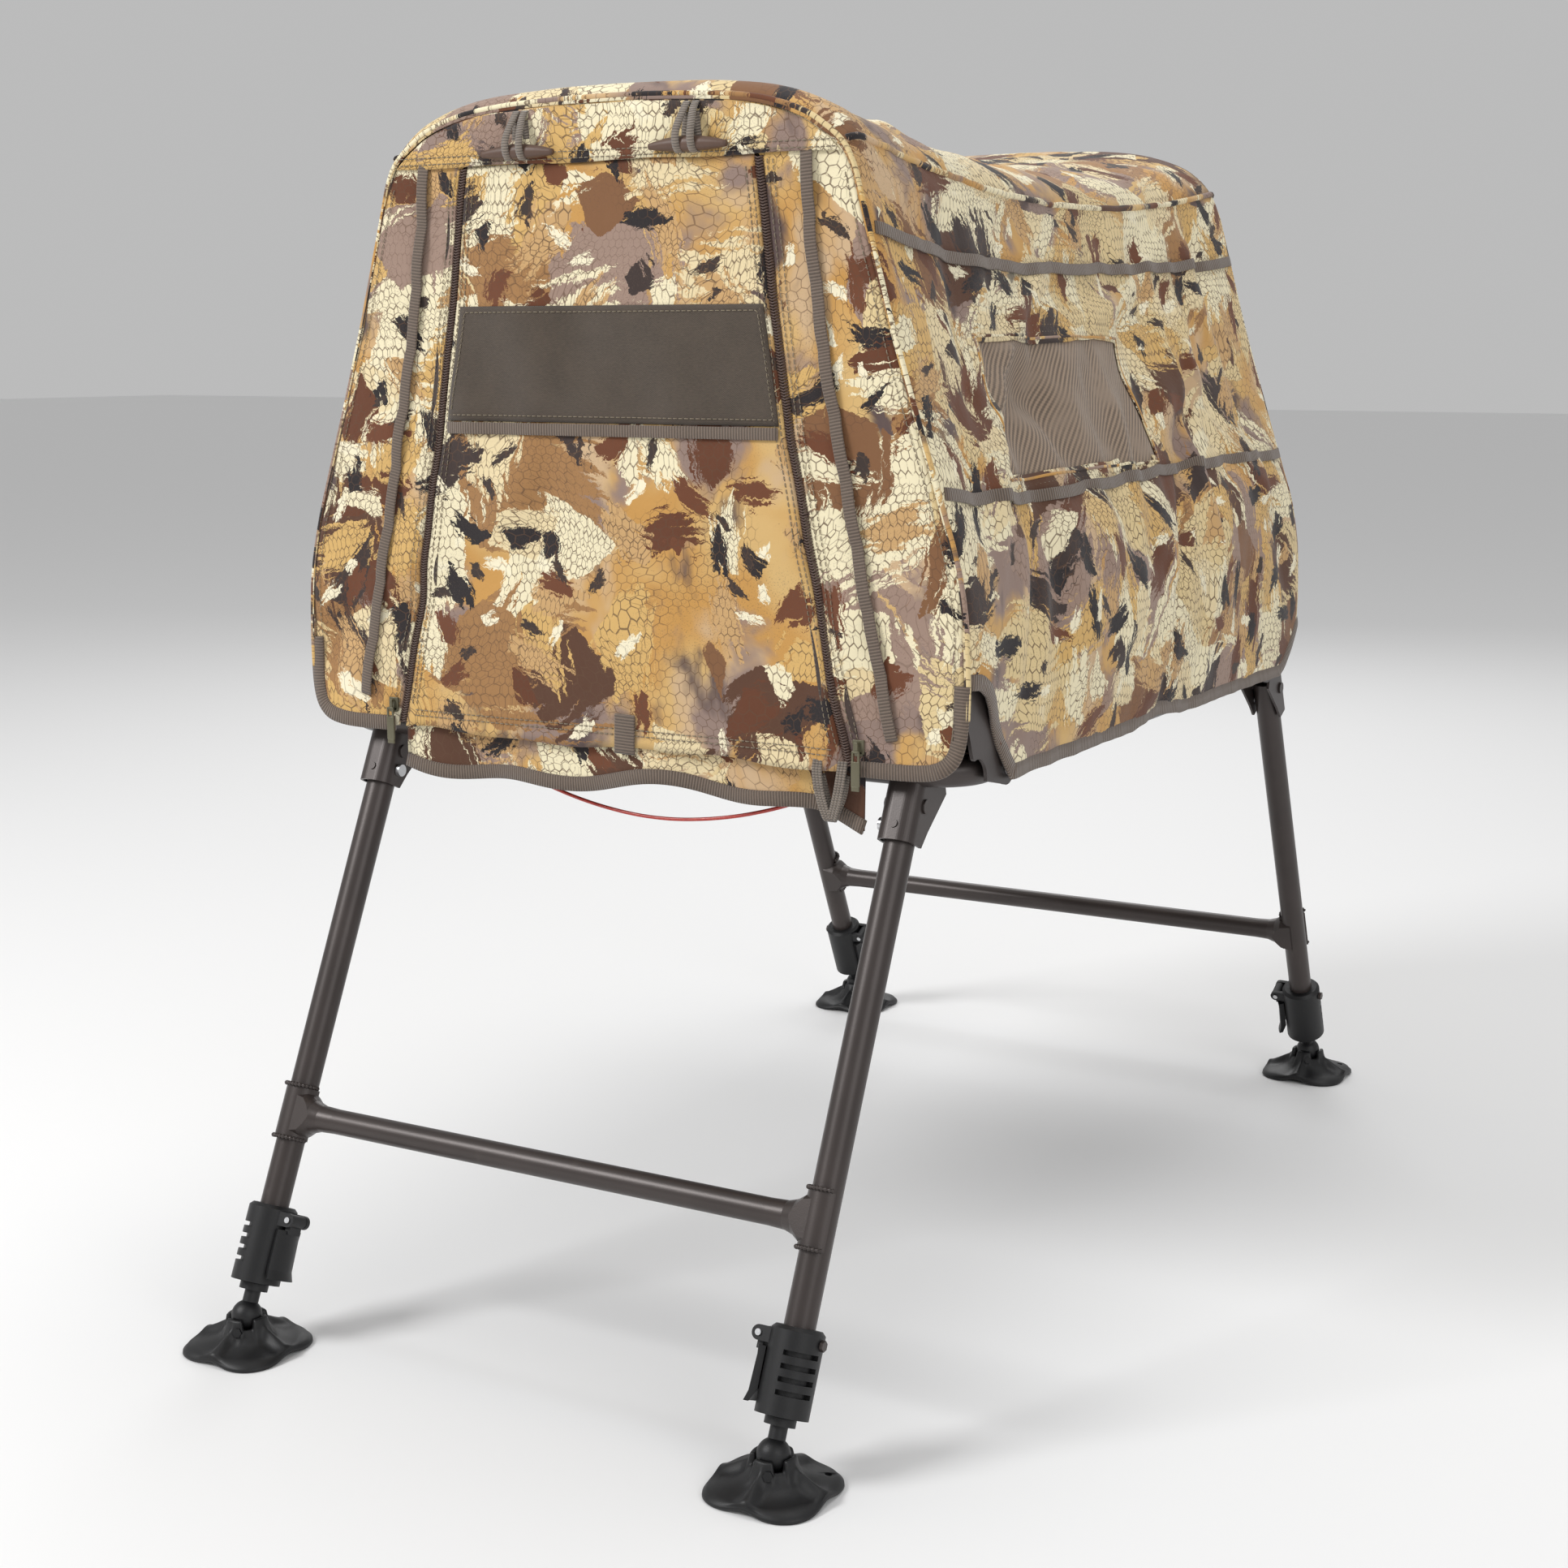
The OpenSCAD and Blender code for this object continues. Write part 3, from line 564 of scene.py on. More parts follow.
class Folds:
    """A smooth field of long soft folds over a sheet, from a seeded draw."""

    def __init__(self, seed, count, a_range, b_range, angle, spread, length, width, height):
        rng = random.Random(seed)
        self.folds = [(rng.uniform(*a_range), rng.uniform(*b_range), rng.gauss(angle, spread),
                       rng.uniform(*length), rng.uniform(*width), rng.choice((-1, 1)) * rng.uniform(*height),
                       rng.uniform(-1.5, 1.5)) for _ in range(count)]

    def __call__(self, a, b):
        total = np.zeros_like(a)
        for ca, cb, turn, length, width, height, bow in self.folds:
            da, db = a - ca, b - cb
            run = da * math.cos(turn) + db * math.sin(turn)
            off = -da * math.sin(turn) + db * math.cos(turn) + bow * run * run
            total += height * np.exp(-(off / width) ** 2 - (run / length) ** 2)
        return total


def ripple(a, b, scale, seed):
    """Low smooth noise, about -1 to 1."""
    rng = random.Random(seed)
    total = np.zeros_like(a)
    for k in range(7):
        turn, phase = rng.uniform(0, math.pi), rng.uniform(0, 7)
        freq = 2 * math.pi / scale * rng.uniform(0.6, 1.7)
        total += np.sin(freq * (a * math.cos(turn) + b * math.sin(turn)) + phase) / 3.2
    return total


# ---------------------------------------------------------------- the shell's surfaces
FOLD_RUN = (-0.38, 0.38)                   # where folds may lie along the blind
SIDE_FOLDS = {s: [Folds(11 + s, 26, FOLD_RUN, (0.02, 0.42), 1.45, 0.35,
                        (0.07, 0.20), (0.011, 0.030), (0.004, 0.0115)),
                  Folds(23 + s, 16, FOLD_RUN, (0.20, 0.50), 0.5, 0.5,
                        (0.06, 0.16), (0.012, 0.030), (0.003, 0.009))]
              for s in (-1, 1)}
ROOF_FOLDS = Folds(5, 26, FOLD_RUN, (-0.22, 0.22), 0.9, 0.9,
                   (0.05, 0.16), (0.012, 0.03), (0.0015, 0.005))


def body_point(y, s, side):
    """Point of the long sheet: s runs from the hem (0) to the middle of the roof (HALF_LEN)."""
    xz = along(HALF, s)
    x, z = xz[..., 0], xz[..., 1]
    ahead = along(HALF, np.minimum(s + 0.004, HALF_LEN))
    behind = along(HALF, np.maximum(s - 0.004, 0))
    tx, tz = ahead[..., 0] - behind[..., 0], ahead[..., 1] - behind[..., 1]
    size = np.maximum(np.hypot(tx, tz), 1e-9)
    nx, nz = tz / size, -tx / size
    free = np.clip(1 - (y / HOOP_Y) ** 2, 0, 1)            # 0 at the hoops, 1 midway
    high = np.clip((s - 0.30) / (SEAM_S - 0.30), 0, 1)
    roofness = np.clip((s - SEAM_S) / (HALF_LEN - SEAM_S), 0, 1)
    drop = free * (0.030 * high ** 2 + 0.016 * roofness)
    suck = -0.012 * free * np.exp(-((s - 0.40) / 0.12) ** 2) + 0.006 * free * np.exp(-((s - 0.13) / 0.09) ** 2)
    inner = np.clip(free * 3.0, 0, 1) ** 0.8
    edge = np.clip(s / 0.03, 0.25, 1)
    crease = sum(f(y, s) for f in SIDE_FOLDS[side]) * np.clip((SEAM_S - s) / 0.05, 0, 1) * edge
    crease = crease + ROOF_FOLDS(y, side * x) * np.clip((s - SEAM_S) / 0.03, 0, 1)
    small = 0.0012 * ripple(y, s * side, 0.11, 3) + 0.0006 * ripple(y, s * side, 0.04, 4)
    out = suck + inner * crease + small * np.clip(free * 6, 0.15, 1)
    crown = np.clip((s - SEAM_S + 0.03) / 0.06, 0, 1)
    crown = crown * crown * (3 - 2 * crown)
    turn = np.clip((np.abs(y) - REAR) / (0.014 + 0.018 * crown) + 1, 0, 1)
    pull = (0.006 + 0.014 * crown) * (1 - np.sqrt(1 - 0.98 * turn ** 2))
    x = x + nx * (out - pull)
    z = z + nz * (out - pull) - drop
    x = x + 0.0042 * np.exp(-((np.abs(y) - 0.365) / 0.055) ** 4) * np.clip((0.15 - s) / 0.07, 0, 1)
    return np.stack([side * x, y, z], -1)


FRONT_HEM = [(0.0, 0.527), (0.05, 0.523), (0.12, 0.511), (0.20, 0.519), (0.27, 0.514), (0.318, 0.510),
             (0.336, 0.516), (0.352, 0.538), (0.372, 0.570), (0.392, 0.594), (0.405, 0.602), (0.43, 0.604)]
REAR_HEM = FRONT_HEM[:6] + [(0.345, 0.514), (0.370, 0.526), (0.392, 0.545), (0.410, 0.566), (0.43, 0.584)]


def hem_s(y):
    """Distance up the profile where the side's hem lies: it arches over the front hinge plates."""
    z = np.where(y < 0, np.interp(-y, *zip(*FRONT_HEM)), np.interp(y, *zip(*REAR_HEM)))
    return np.interp(z, HALF[:, 1], lengths(HALF))


TURNED = 0.024                             # rounded end of the shell, with closer rows
Y_ROWS = np.concatenate([np.linspace(FRONT, FRONT + TURNED, 7)[:-1],
                         np.linspace(FRONT + TURNED, REAR - TURNED, 116),
                         np.linspace(REAR - TURNED, REAR, 7)[1:]])


def body_sheet():
    """Both sides and the roof as one cloth, with the two window holes."""
    cols = 112
    halves = []
    for side in (-1, 1):
        y = np.repeat(Y_ROWS[:, None], cols, 1)
        start = hem_s(y)
        s = start + (HALF_LEN - start) * np.linspace(0, 1, cols)[None]
        halves.append(body_point(y, s, side))
    points = np.concatenate([halves[0], halves[1][:, -2::-1]], 1)
    girth = np.concatenate([s, 2 * HALF_LEN - s[:, -2::-1]], 1)
    run = np.concatenate([y, y[:, -2::-1]], 1)
    mid_y = (run[:-1, :-1] + run[1:, 1:]) / 2
    mid_s = (girth[:-1, :-1] + girth[1:, 1:]) / 2
    mid_s = np.minimum(mid_s, 2 * HALF_LEN - mid_s)
    hole = (mid_y > WIN_Y[0]) & (mid_y < WIN_Y[1]) & (mid_s > WIN_S[0]) & (mid_s < WIN_S[1])
    uv = np.stack([run.ravel() + 2.0, girth.ravel()], -1)
    return cloth("shell_cloth", points, grid_faces(*points.shape[:2], ~hole)[:, ::-1], uv, CLOTH)


FRONT_FOLDS = Folds(31, 22, (-0.31, 0.31), (0.56, 1.0), 1.5, 0.5,
                    (0.05, 0.16), (0.012, 0.03), (0.0018, 0.0056))
REAR_FOLDS = Folds(37, 26, (-0.31, 0.31), (0.56, 1.0), 1.4, 0.6,
                   (0.06, 0.2), (0.012, 0.03), (0.002, 0.006))
END_EDGE = body_point(np.full(400, FRONT), np.linspace(0, HALF_LEN, 400), 1)[:, [0, 2]]
END_EDGE[-1, 0] = 0.0


def edge_half(z):
    """Half width of an end panel, inside the shell's rounded end."""
    return np.interp(z, END_EDGE[:, 1], END_EDGE[:, 0])


def end_depth(x, z, end):
    """y of an end panel's outer face at (x, z)."""
    folds = FRONT_FOLDS if end < 0 else REAR_FOLDS
    edge = np.clip((edge_half(np.clip(z, 0.53, 1.045)) - np.abs(x)) / 0.016, 0, 1)
    belly = 0.003 * np.cos(np.clip(x / 0.33, -1, 1) * math.pi / 2) * np.sin(np.clip((z - 0.53) / 0.5, 0, 1) * math.pi)
    crease = folds(x, z) * edge + 0.0008 * ripple(x, z, 0.10, 8 + end)
    return end * (REAR + belly + crease - 0.0015 * (1 - edge))


def top_outline(share):
    """Points of the end outline over the header, from one door-top height to the other."""
    start = float(np.interp(DOOR_TOP, END_EDGE[:, 1], lengths(END_EDGE)))
    full = lengths(END_EDGE)[-1]
    s = start + share * 2 * (full - start)
    xz = along(END_EDGE, np.minimum(s, 2 * full - s))
    return xz[..., 0] * np.where(s <= full, -1, 1), xz[..., 1]


def hem_edge(x, end=-1):
    """Height of an end panel's lower hem at x, a little wavy, with the corners turned up."""
    rise, start, over = (0.030, 0.288, 0.036) if end < 0 else (0.052, 0.258, 0.066)
    corner = np.clip((np.abs(x) - start) / over, 0, 1) ** 2
    return HEM_Z + 0.002 * np.sin(x * 23) + 0.001 * np.sin(x * 61 + 1) + rise * corner


N_SIDE, N_DOOR, N_UP, N_HEAD = 22, 46, 74, 14   # columns and rows of an end panel's zones


def end_grid(end):
    """Grid of the end panel: columns by zone (side, door, side), rows from the hem to the roof."""
    z_rows = np.linspace(0, 1, N_UP)
    rows = []
    for share in z_rows:
        z = HEM_Z + (DOOR_TOP - HEM_Z) * share
        out, door = float(edge_half(z)), float(door_half(z))
        x = np.concatenate([np.linspace(-out, -door, N_SIDE), np.linspace(-door, door, N_DOOR)[1:],
                            np.linspace(door, out, N_SIDE)[1:]])
        zz = np.full_like(x, z) + (hem_edge(x, end) - HEM_Z) * (1 - share) ** 2
        rows.append(np.stack([x, zz], -1))
    low = rows[-1]
    reach = (low[:, 0] - low[0, 0]) / (low[-1, 0] - low[0, 0])
    top_x, top_z = top_outline(reach)
    for share in np.linspace(0, 1, N_HEAD)[1:]:
        rows.append(low * (1 - share) + np.stack([top_x, top_z], -1) * share)
    xz = np.array(rows)
    y = end_depth(xz[..., 0], xz[..., 1], end)
    return np.stack([xz[..., 0], y, xz[..., 1]], -1)


def end_panel(name, end, with_door):
    points = end_grid(end)
    rows, cols = points.shape[:2]
    keep = np.ones((rows - 1, cols - 1), bool)
    if with_door:
        x, z = points[..., 0], points[..., 2]
        off = np.abs(x) - door_half(z)
        gap = 0.0036 * np.exp(-(np.maximum(off, 0) / 0.008) ** 2)
        points[..., 0] += np.sign(x) * gap * (off > -1e-6) * (z < DOOR_TOP)
        keep[:N_UP - 1, N_SIDE - 1:N_SIDE + N_DOOR - 2] = False
    uv = points[..., [0, 2]].reshape(-1, 2) + (5.0 + end, 0)
    return cloth(name, points, grid_faces(rows, cols, keep)[:, ::-end], uv, CLOTH)


def on_end(x, z, end=-1, lift=0.0):
    """Points on an end panel's face, lifted outwards."""
    x, z = np.broadcast_arrays(np.asarray(x, float), np.asarray(z, float))
    return np.stack([x, end_depth(x, z, end) + end * lift, z], -1)


def door_cloth():
    """The door between the zips, riding on the door body."""
    points = end_grid(-1)[:N_UP, N_SIDE - 1:N_SIDE + N_DOOR - 1].copy()
    centre = points[..., 0] / np.maximum(door_half(points[..., 2]), 1e-6)
    points[..., 0] -= np.sign(centre) * np.clip((np.abs(centre) - 0.9) / 0.1, 0, 1) * 0.0040
    points[..., 1] -= 0.0004
    uv = points[..., [0, 2]].reshape(-1, 2) + (8.13, 0.31)
    return cloth("door_cloth", points, grid_faces(*points.shape[:2]), uv, CLOTH, body="door")


def strip_on_end(name, path_xz, width, thick, body="platform", end=-1, lift=0.0, tacks=0, puff=0.0):
    """A webbing strap along (x, z) points on an end panel, puffed up between its tacks."""
    p = np.asarray(path_xz, float)
    total = lengths(p)[-1]
    s = np.linspace(0, total, max(int(total / 0.004), 8))
    xz = along(p, s)
    bow = puff * np.abs(np.sin(math.pi * tacks * s / total)) ** 0.7 if tacks else 0.0
    points = on_end(xz[:, 0], xz[:, 1], end, lift + bow)
    return sewn(name, [sweep(points, (0, end, 0), strap_section(width, thick))], "webbing", body)


def stitch_end(x, z, end=-1, lift=THREAD_LIFT):
    """A row of stitches on an end panel."""
    return stitches(on_end(x, z, end, lift), (0, end, 0))


def stitch_zips(way, top):
    """Two rows of stitches along each zip: way is -1 on the door, 1 on the panel beside it."""
    z = np.linspace(HEM_Z + 0.02, top, 150)
    return [stitch_end(side * (door_half(z) + way * inset), z) for side in (-1, 1) for inset in (0.0075, 0.0125)]


# ---------------------------------------------------------------- build: shell
shell = body_sheet()
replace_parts(shell, "left_wall", "right_wall", "roof")
front_panel = end_panel("front_panel", -1, True)
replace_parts(front_panel, "front_wall")
rear_panel = end_panel("rear_panel", 1, False)
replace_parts(rear_panel, "rear_wall")
door = door_cloth()
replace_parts(door, "door_panel")


def seam_pipings():
    """Bound seams round both ends and along the two roof edges."""
    parts = []
    start = hem_s(np.array([REAR]))[0]
    for end in (-1, 1):
        s = np.linspace(start, HALF_LEN, 150)
        y = np.full_like(s, end * (REAR - 0.002))
        left, right = body_point(y, s, -1), body_point(y, s, 1)
        path = np.concatenate([left, right[-2::-1]])
        up = path - (0, 0, 0.8)
        up[:, 1] = 0
        parts.append(sweep(path, up, circle_section(0.0024, 8)))
    sewn("end_seams", parts, "camo", shift=(3.3, 0))
    parts = []
    for side in (-1, 1):
        y = np.linspace(FRONT + 0.004, REAR - 0.004, 150)
        path = body_point(y, np.full_like(y, SEAM_S), side) + (side * 0.0009, 0, 0.0012)
        parts.append(sweep(path, (side * 0.6, 0, 0.8), circle_section(0.0030, 8)))
    sewn("roof_seams", parts, "camo", shift=(6.6, 0))


def bindings():
    """Taupe grosgrain folded over every hem of the shell."""
    section = hem_section(0.0062, 0.0013, 0.0017)
    parts = []
    for side in (-1, 1):
        y = np.linspace(FRONT + 0.003, REAR - 0.003, 220)
        parts.append(sweep(body_point(y, hem_s(y) + 0.004, side), (side, 0, 0), section))
    x = np.linspace(-0.322, 0.322, 130)
    parts.append(sweep(on_end(x, hem_edge(x, 1) + 0.004, 1), (0, 1, 0), section))
    corner = rounded([(0.236, 0.531), (0.292, 0.531), (0.316, 0.538), (0.3245, 0.558), (0.3255, 0.604)], 3)
    for side in (-1, 1):
        parts.append(sweep(on_end(side * corner[:, 0], corner[:, 1]), (0, -1, 0), section))
    sewn("hem_bindings", parts, "webbing")


def windows():
    """Net panels behind the side windows, with a folded edge and two rows of stitches round each."""
    for side, name in SIDES:
        def ring(grow):
            """The window's outline grown outwards, as a closed line of (y, s)."""
            (y0, y1), (s0, s1) = WIN_Y, WIN_S
            low, high = (y0 - grow, s0 - grow), (y1 + grow, s1 + grow)
            return np.array([low, (high[0], low[1]), high, (low[0], high[1]), low])

        def on_side(ys, lift):
            return body_point(ys[:, 0], ys[:, 1], side) + (side * lift, 0, 0)

        low, _, high = ring(0.008)[:3]
        y, s = np.meshgrid(np.linspace(low[0], high[0], 60), np.linspace(low[1], high[1], 26), indexing="ij")
        points = body_point(y, s, side) - (side * 0.0016, 0, 0)
        uv = np.stack([y.ravel(), s.ravel()], -1)
        net = cloth(name + "_window_net", points, grid_faces(60, 26)[:, ::side], uv, 0.0007, "window")
        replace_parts(net, name + "_window")
        edge = ring(0.003)
        parts = [sweep(on_side(resampled(edge[k:k + 2], 50), 0.0004), (side, 0, 0.3), circle_section(0.0017, 6))
                 for k in range(4)]
        sewn(name + "_window_edge", parts, "camo", shift=(1.7, 0.4))
        parts = [stitches(on_side(resampled(ring(grow), 200), 0.0003), (side, 0, 0.3)) for grow in (0.009, 0.016)]
        sewn(name + "_window_stitches", parts, "thread")


def side_straps():
    """Two webbing straps along each side, tacked at intervals and slack between the tacks."""
    for side, name in SIDES:
        for level, s0, tacks, slack in (("upper", 0.448, 7, 0.0035), ("lower", 0.236, 9, 0.003)):
            y = np.linspace(FRONT + 0.006, REAR - 0.006, 220)
            share = (y - y[0]) / (y[-1] - y[0])
            s = s0 - 0.012 * np.sin(math.pi * np.clip(share * 1.6, 0, 1)) * (1 - share)
            bow = slack * np.abs(np.sin(math.pi * tacks * share)) ** 0.8
            path = body_point(y, s, side) + np.stack([side * (0.0010 + bow), 0 * bow, -0.6 * bow], -1)
            strap = sweep(path, (side, 0, 0.25), strap_section(*WEBBING))
            sewn(f"{name}_{level}_strap", [strap], "webbing")


def zips():
    """Coil zips down both door edges: tape and coil teeth."""
    tape, teeth = [], []
    tooth = np.array([(-0.0036, 0, 0.0008), (-0.0030, -0.0016, 0.0006), (0.0, -0.0021, -0.0006),
                      (0.0030, -0.0016, 0.0006), (0.0036, 0, 0.0008)])
    for side in (-1, 1):
        z = np.linspace(DOOR_TOP - 0.002, HEM_Z + 0.004, 130)
        x = side * door_half(z)
        tape.append(sweep(on_end(x, z, -1, -0.0022), (0, -1, 0), strap_section(0.026, 0.0010)))
        path = on_end(x, z, -1, -0.0006)
        for centre in along(path, np.arange(0.001, lengths(path)[-1] - 0.001, 0.0023)):
            teeth.append(sweep(centre + tooth, (0, 0, 1), circle_section(0.00086, 5)))
    sewn("zip_tapes", tape, "tape")
    sewn("zip_coils", teeth, "coil")


def door_details():
    """Patch, strap, tab and stitching on the door."""
    low, high = 0.802, 0.898                   # lower and upper edge of the patch
    rows, cols = 22, 60
    grid = []
    for z in np.linspace(low, high, rows):
        half = float(door_half(z)) - 0.009
        grid.append(on_end(np.linspace(-half, half, cols), z, -1, 0.0014))
    grid = np.array(grid)
    cloth("door_patch", grid, grid_faces(rows, cols), grid[..., [0, 2]].reshape(-1, 2), 0.0014, "patch", "door")
    half_low, half_high = float(door_half(low)) - 0.014, float(door_half(high)) - 0.014
    low_in, high_in = low + 0.005, high - 0.005
    ring = [(-half_low, low_in), (half_low, low_in), (half_high, high_in), (-half_high, high_in),
            (-half_low, low_in)]
    parts = [stitch_end(*resampled(ring, 260).T, lift=0.0016)] + stitch_zips(-1, DOOR_TOP - 0.008)
    for level in (HEM_Z + 0.017, HEM_Z + 0.012):
        parts.append(stitch_end(np.linspace(-0.215, 0.215, 90), level, lift=0.0007))
    sewn("door_stitches", parts, "thread", "door")
    half = float(door_half(low)) - 0.009
    strip_on_end("door_strap", [(-half, low - 0.006), (half, low - 0.006)], 0.010, 0.0014, "door",
                 lift=0.0012, tacks=4, puff=0.0012)
    strip_on_end("door_tab", [(0.012, 0.558), (0.011, 0.524)], 0.020, 0.0016, "door", lift=0.0012)


def front_details():
    """Tacked straps on both end panels, and the stitching on their fixed cloth."""
    for place, end, line in (("front", -1, [(0.186, 1.018), (0.196, 0.90), (0.228, 0.74), (0.266, 0.556)]),
                             ("rear", 1, [(0.150, 1.0), (0.160, 0.88), (0.185, 0.72), (0.205, 0.556)])):
        for side, name in SIDES:
            strip_on_end(f"{place}_{name}_strap", rounded([(side * x, z) for x, z in line]), *WEBBING, end=end,
                         lift=0.0006, tacks=9, puff=0.0028)
    z = np.linspace(HEM_Z + 0.03, 1.0, 150)
    parts = stitch_zips(1, DOOR_TOP - 0.004)
    parts += [stitch_end(side * (half_width(z) - 0.012), z, end) for end in (-1, 1) for side in (-1, 1)]
    sewn("panel_stitches", parts, "thread")


def header_band():
    """Band over the door's top edge, sewn into the roof seam above it."""
    rows, cols = 8, 150
    top_x, top_z = top_outline(0.035 + 0.93 * np.linspace(0, 1, cols))
    low_x = np.linspace(-0.2165, 0.2165, cols)
    low_z = 1.0135 + 0.0008 * np.sin(low_x * 45)
    grid = []
    for k in np.linspace(0, 1, rows):
        x, z = top_x * (1 - k) + low_x * k, (top_z - 0.001) * (1 - k) + low_z * k
        lift = 0.0012 + 0.0016 * math.sin(k * math.pi / 2)
        grid.append(on_end(x, z, -1, lift + 0.0005 * np.sin(x * 38 + 1) * k))
    grid = np.array(grid)
    uv = np.stack([np.tile(low_x, rows), grid[..., 2].ravel()], -1) + (11.4, 0)
    cloth("header_band", grid, grid_faces(rows, cols)[:, ::-1], uv, 0.0013)
    x = np.linspace(-0.214, 0.214, 200)
    sewn("header_stitches", [stitch_end(x, 1.0135 + up, lift=0.0032) for up in (0.003, 0.0085)], "thread")


def toggles():
    """Two tapered toggles held by flat elastic loops from the roof seam."""
    low, high = corners("door_toggles")
    y, z = (low[1] + high[1]) / 2, (low[2] + high[2]) / 2
    spacing, half = 0.083, 0.036               # from the middle to a toggle, and half a toggle's length
    t = np.linspace(-1, 1, 33)
    radius = 0.0064 * (1 - 0.62 * np.abs(t) ** 1.8)
    elastic = [(-0.0006, -0.0032), (0.0006, -0.0032), (0.0006, 0.0032), (-0.0006, 0.0032)]
    parts, loops = [], []
    for centre in (-spacing, spacing):
        path = np.stack([centre + t * half, np.full_like(t, y), z - 0.0012 * t ** 2], -1)
        v, f, u = sweep(path, (0, 0, 1), circle_section(1.0, 14), radius)
        parts.append((v, f, u * 0))
        for shift in (-0.007, 0.007):
            x = centre + shift
            lean = x - shift * 0.4
            loop = rounded([(lean, y + 0.0065, 1.056), (lean, y + 0.0015, 1.050), (x, y - 0.0072, 1.034),
                            (x, y - 0.0076, 1.022), (x, y - 0.001, z - 0.0082), (x, y + 0.0066, 1.021),
                            (lean, y + 0.0060, 1.048)])
            loops.append(sweep(resampled(loop, 40), (1, 0, 0.001), elastic))
    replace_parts(sewn("toggles", parts, "toggle"), "door_toggles")
    sewn("toggle_loops", loops, "elastic")


def skirt():
    """Inner flap that hangs below the door, with its bound wavy hem."""
    rows, cols = 14, 90
    x = np.linspace(-0.228, 0.238, cols)
    low = 0.494 + 0.006 * np.sin(x * 17 + 0.5) + 0.004 * np.sin(x * 41) - 0.008 * np.clip((x - 0.19) / 0.05, 0, 1)
    grid = []
    for k in np.linspace(0, 1, rows):
        y = -0.4145 - 0.004 * np.sin(x * 21 + 1.5) * k - 0.003 * k * np.sin(x * 55)
        grid.append(np.stack([x, y, 0.556 * (1 - k) + low * k], -1))
    grid = np.array(grid)
    uv = grid[..., [0, 2]].reshape(-1, 2) + (14.2, 0)
    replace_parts(cloth("skirt_cloth", grid, grid_faces(rows, cols)[:, ::-1], uv, CLOTH), "front_skirt")
    hem = sweep(grid[-1] + (0, 0, 0.003), (0, -1, 0), hem_section(0.006, 0.0014, 0.0018))
    sewn("skirt_binding", [hem], "webbing")


def corner_elastic():
    """Doubled elastic that hangs from the door's right lower corner."""
    section = [(-0.0006, -0.0014), (0.0006, -0.0014), (0.0008, 0.0), (0.0006, 0.0014), (-0.0006, 0.0014)]
    parts = []
    for x0, x1, x2 in ((0.199, 0.203, 0.209), (0.222, 0.219, 0.211)):
        path = rounded([(x0, -0.4235, 0.536), (x0, -0.4265, 0.526), (x1, -0.4275, 0.506), (x2, -0.4235, 0.484),
                        (x2, -0.4195, 0.488), (x1, -0.4185, 0.506), (x0, -0.4200, 0.524)])
        for shift in (-0.0030, 0, 0.0030):
            parts.append(sweep(resampled(path, 40) + (shift, 0, 0), (1, 0, 0.001), section))
    sewn("corner_elastic", parts, "elastic", "door")


def bevelled(name, boxes, kind, body, round_by):
    """Rounded blocks as one piece; a block is (centre, size)."""
    bm = bmesh.new()
    for centre, size in boxes:
        made = bmesh.ops.create_cube(bm, size=1.0)
        for vert in made["verts"]:
            vert.co = Vector(centre) + Vector(v * k for v, k in zip(vert.co, size))
    bmesh.ops.bevel(bm, geom=bm.edges[:], offset=round_by, segments=3, profile=0.6, affect="EDGES")
    bm.verts.index_update()
    verts = [tuple(v.co) for v in bm.verts]
    faces = [tuple(v.index for v in f.verts) for f in bm.faces]
    bm.free()
    return piece(name, verts, faces, kind, body)


def zip_sliders():
    """Slider bodies with a bridge and a hanging pull."""
    blocks = (  # centre and size: x, depth from the face, height from the top
        ((0, -0.0012, -0.006), (0.0098, 0.0022, 0.0115)), ((0, -0.0012, -0.0115), (0.0072, 0.0022, 0.004)),
        ((0, -0.0045, -0.003), (0.0030, 0.0034, 0.0026)), ((0, -0.0045, -0.0115), (0.0030, 0.0034, 0.0026)),
        ((0, -0.0057, -0.0072), (0.0030, 0.0016, 0.0110)),
        ((-0.0027, -0.0068, -0.0135), (0.0018, 0.0016, 0.009)),
        ((0.0027, -0.0068, -0.0135), (0.0018, 0.0016, 0.009)),
        ((0, -0.0068, -0.0095), (0.0066, 0.0016, 0.0018)), ((0, -0.0068, -0.0275), (0.0078, 0.0017, 0.0205)),
        ((0, -0.0068, -0.0395), (0.0070, 0.0017, 0.0040)))
    for _, name in SIDES:
        low, high = corners(name + "_zip_slider")
        origin = np.array([(low[0] + high[0]) / 2, high[1], high[2]])
        placed = [(origin + centre, size) for centre, size in blocks]
        pull = bevelled(name + "_zip_pull", placed, "slider", name + "_zip", 0.00045)
        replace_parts(pull, name + "_zip_slider")


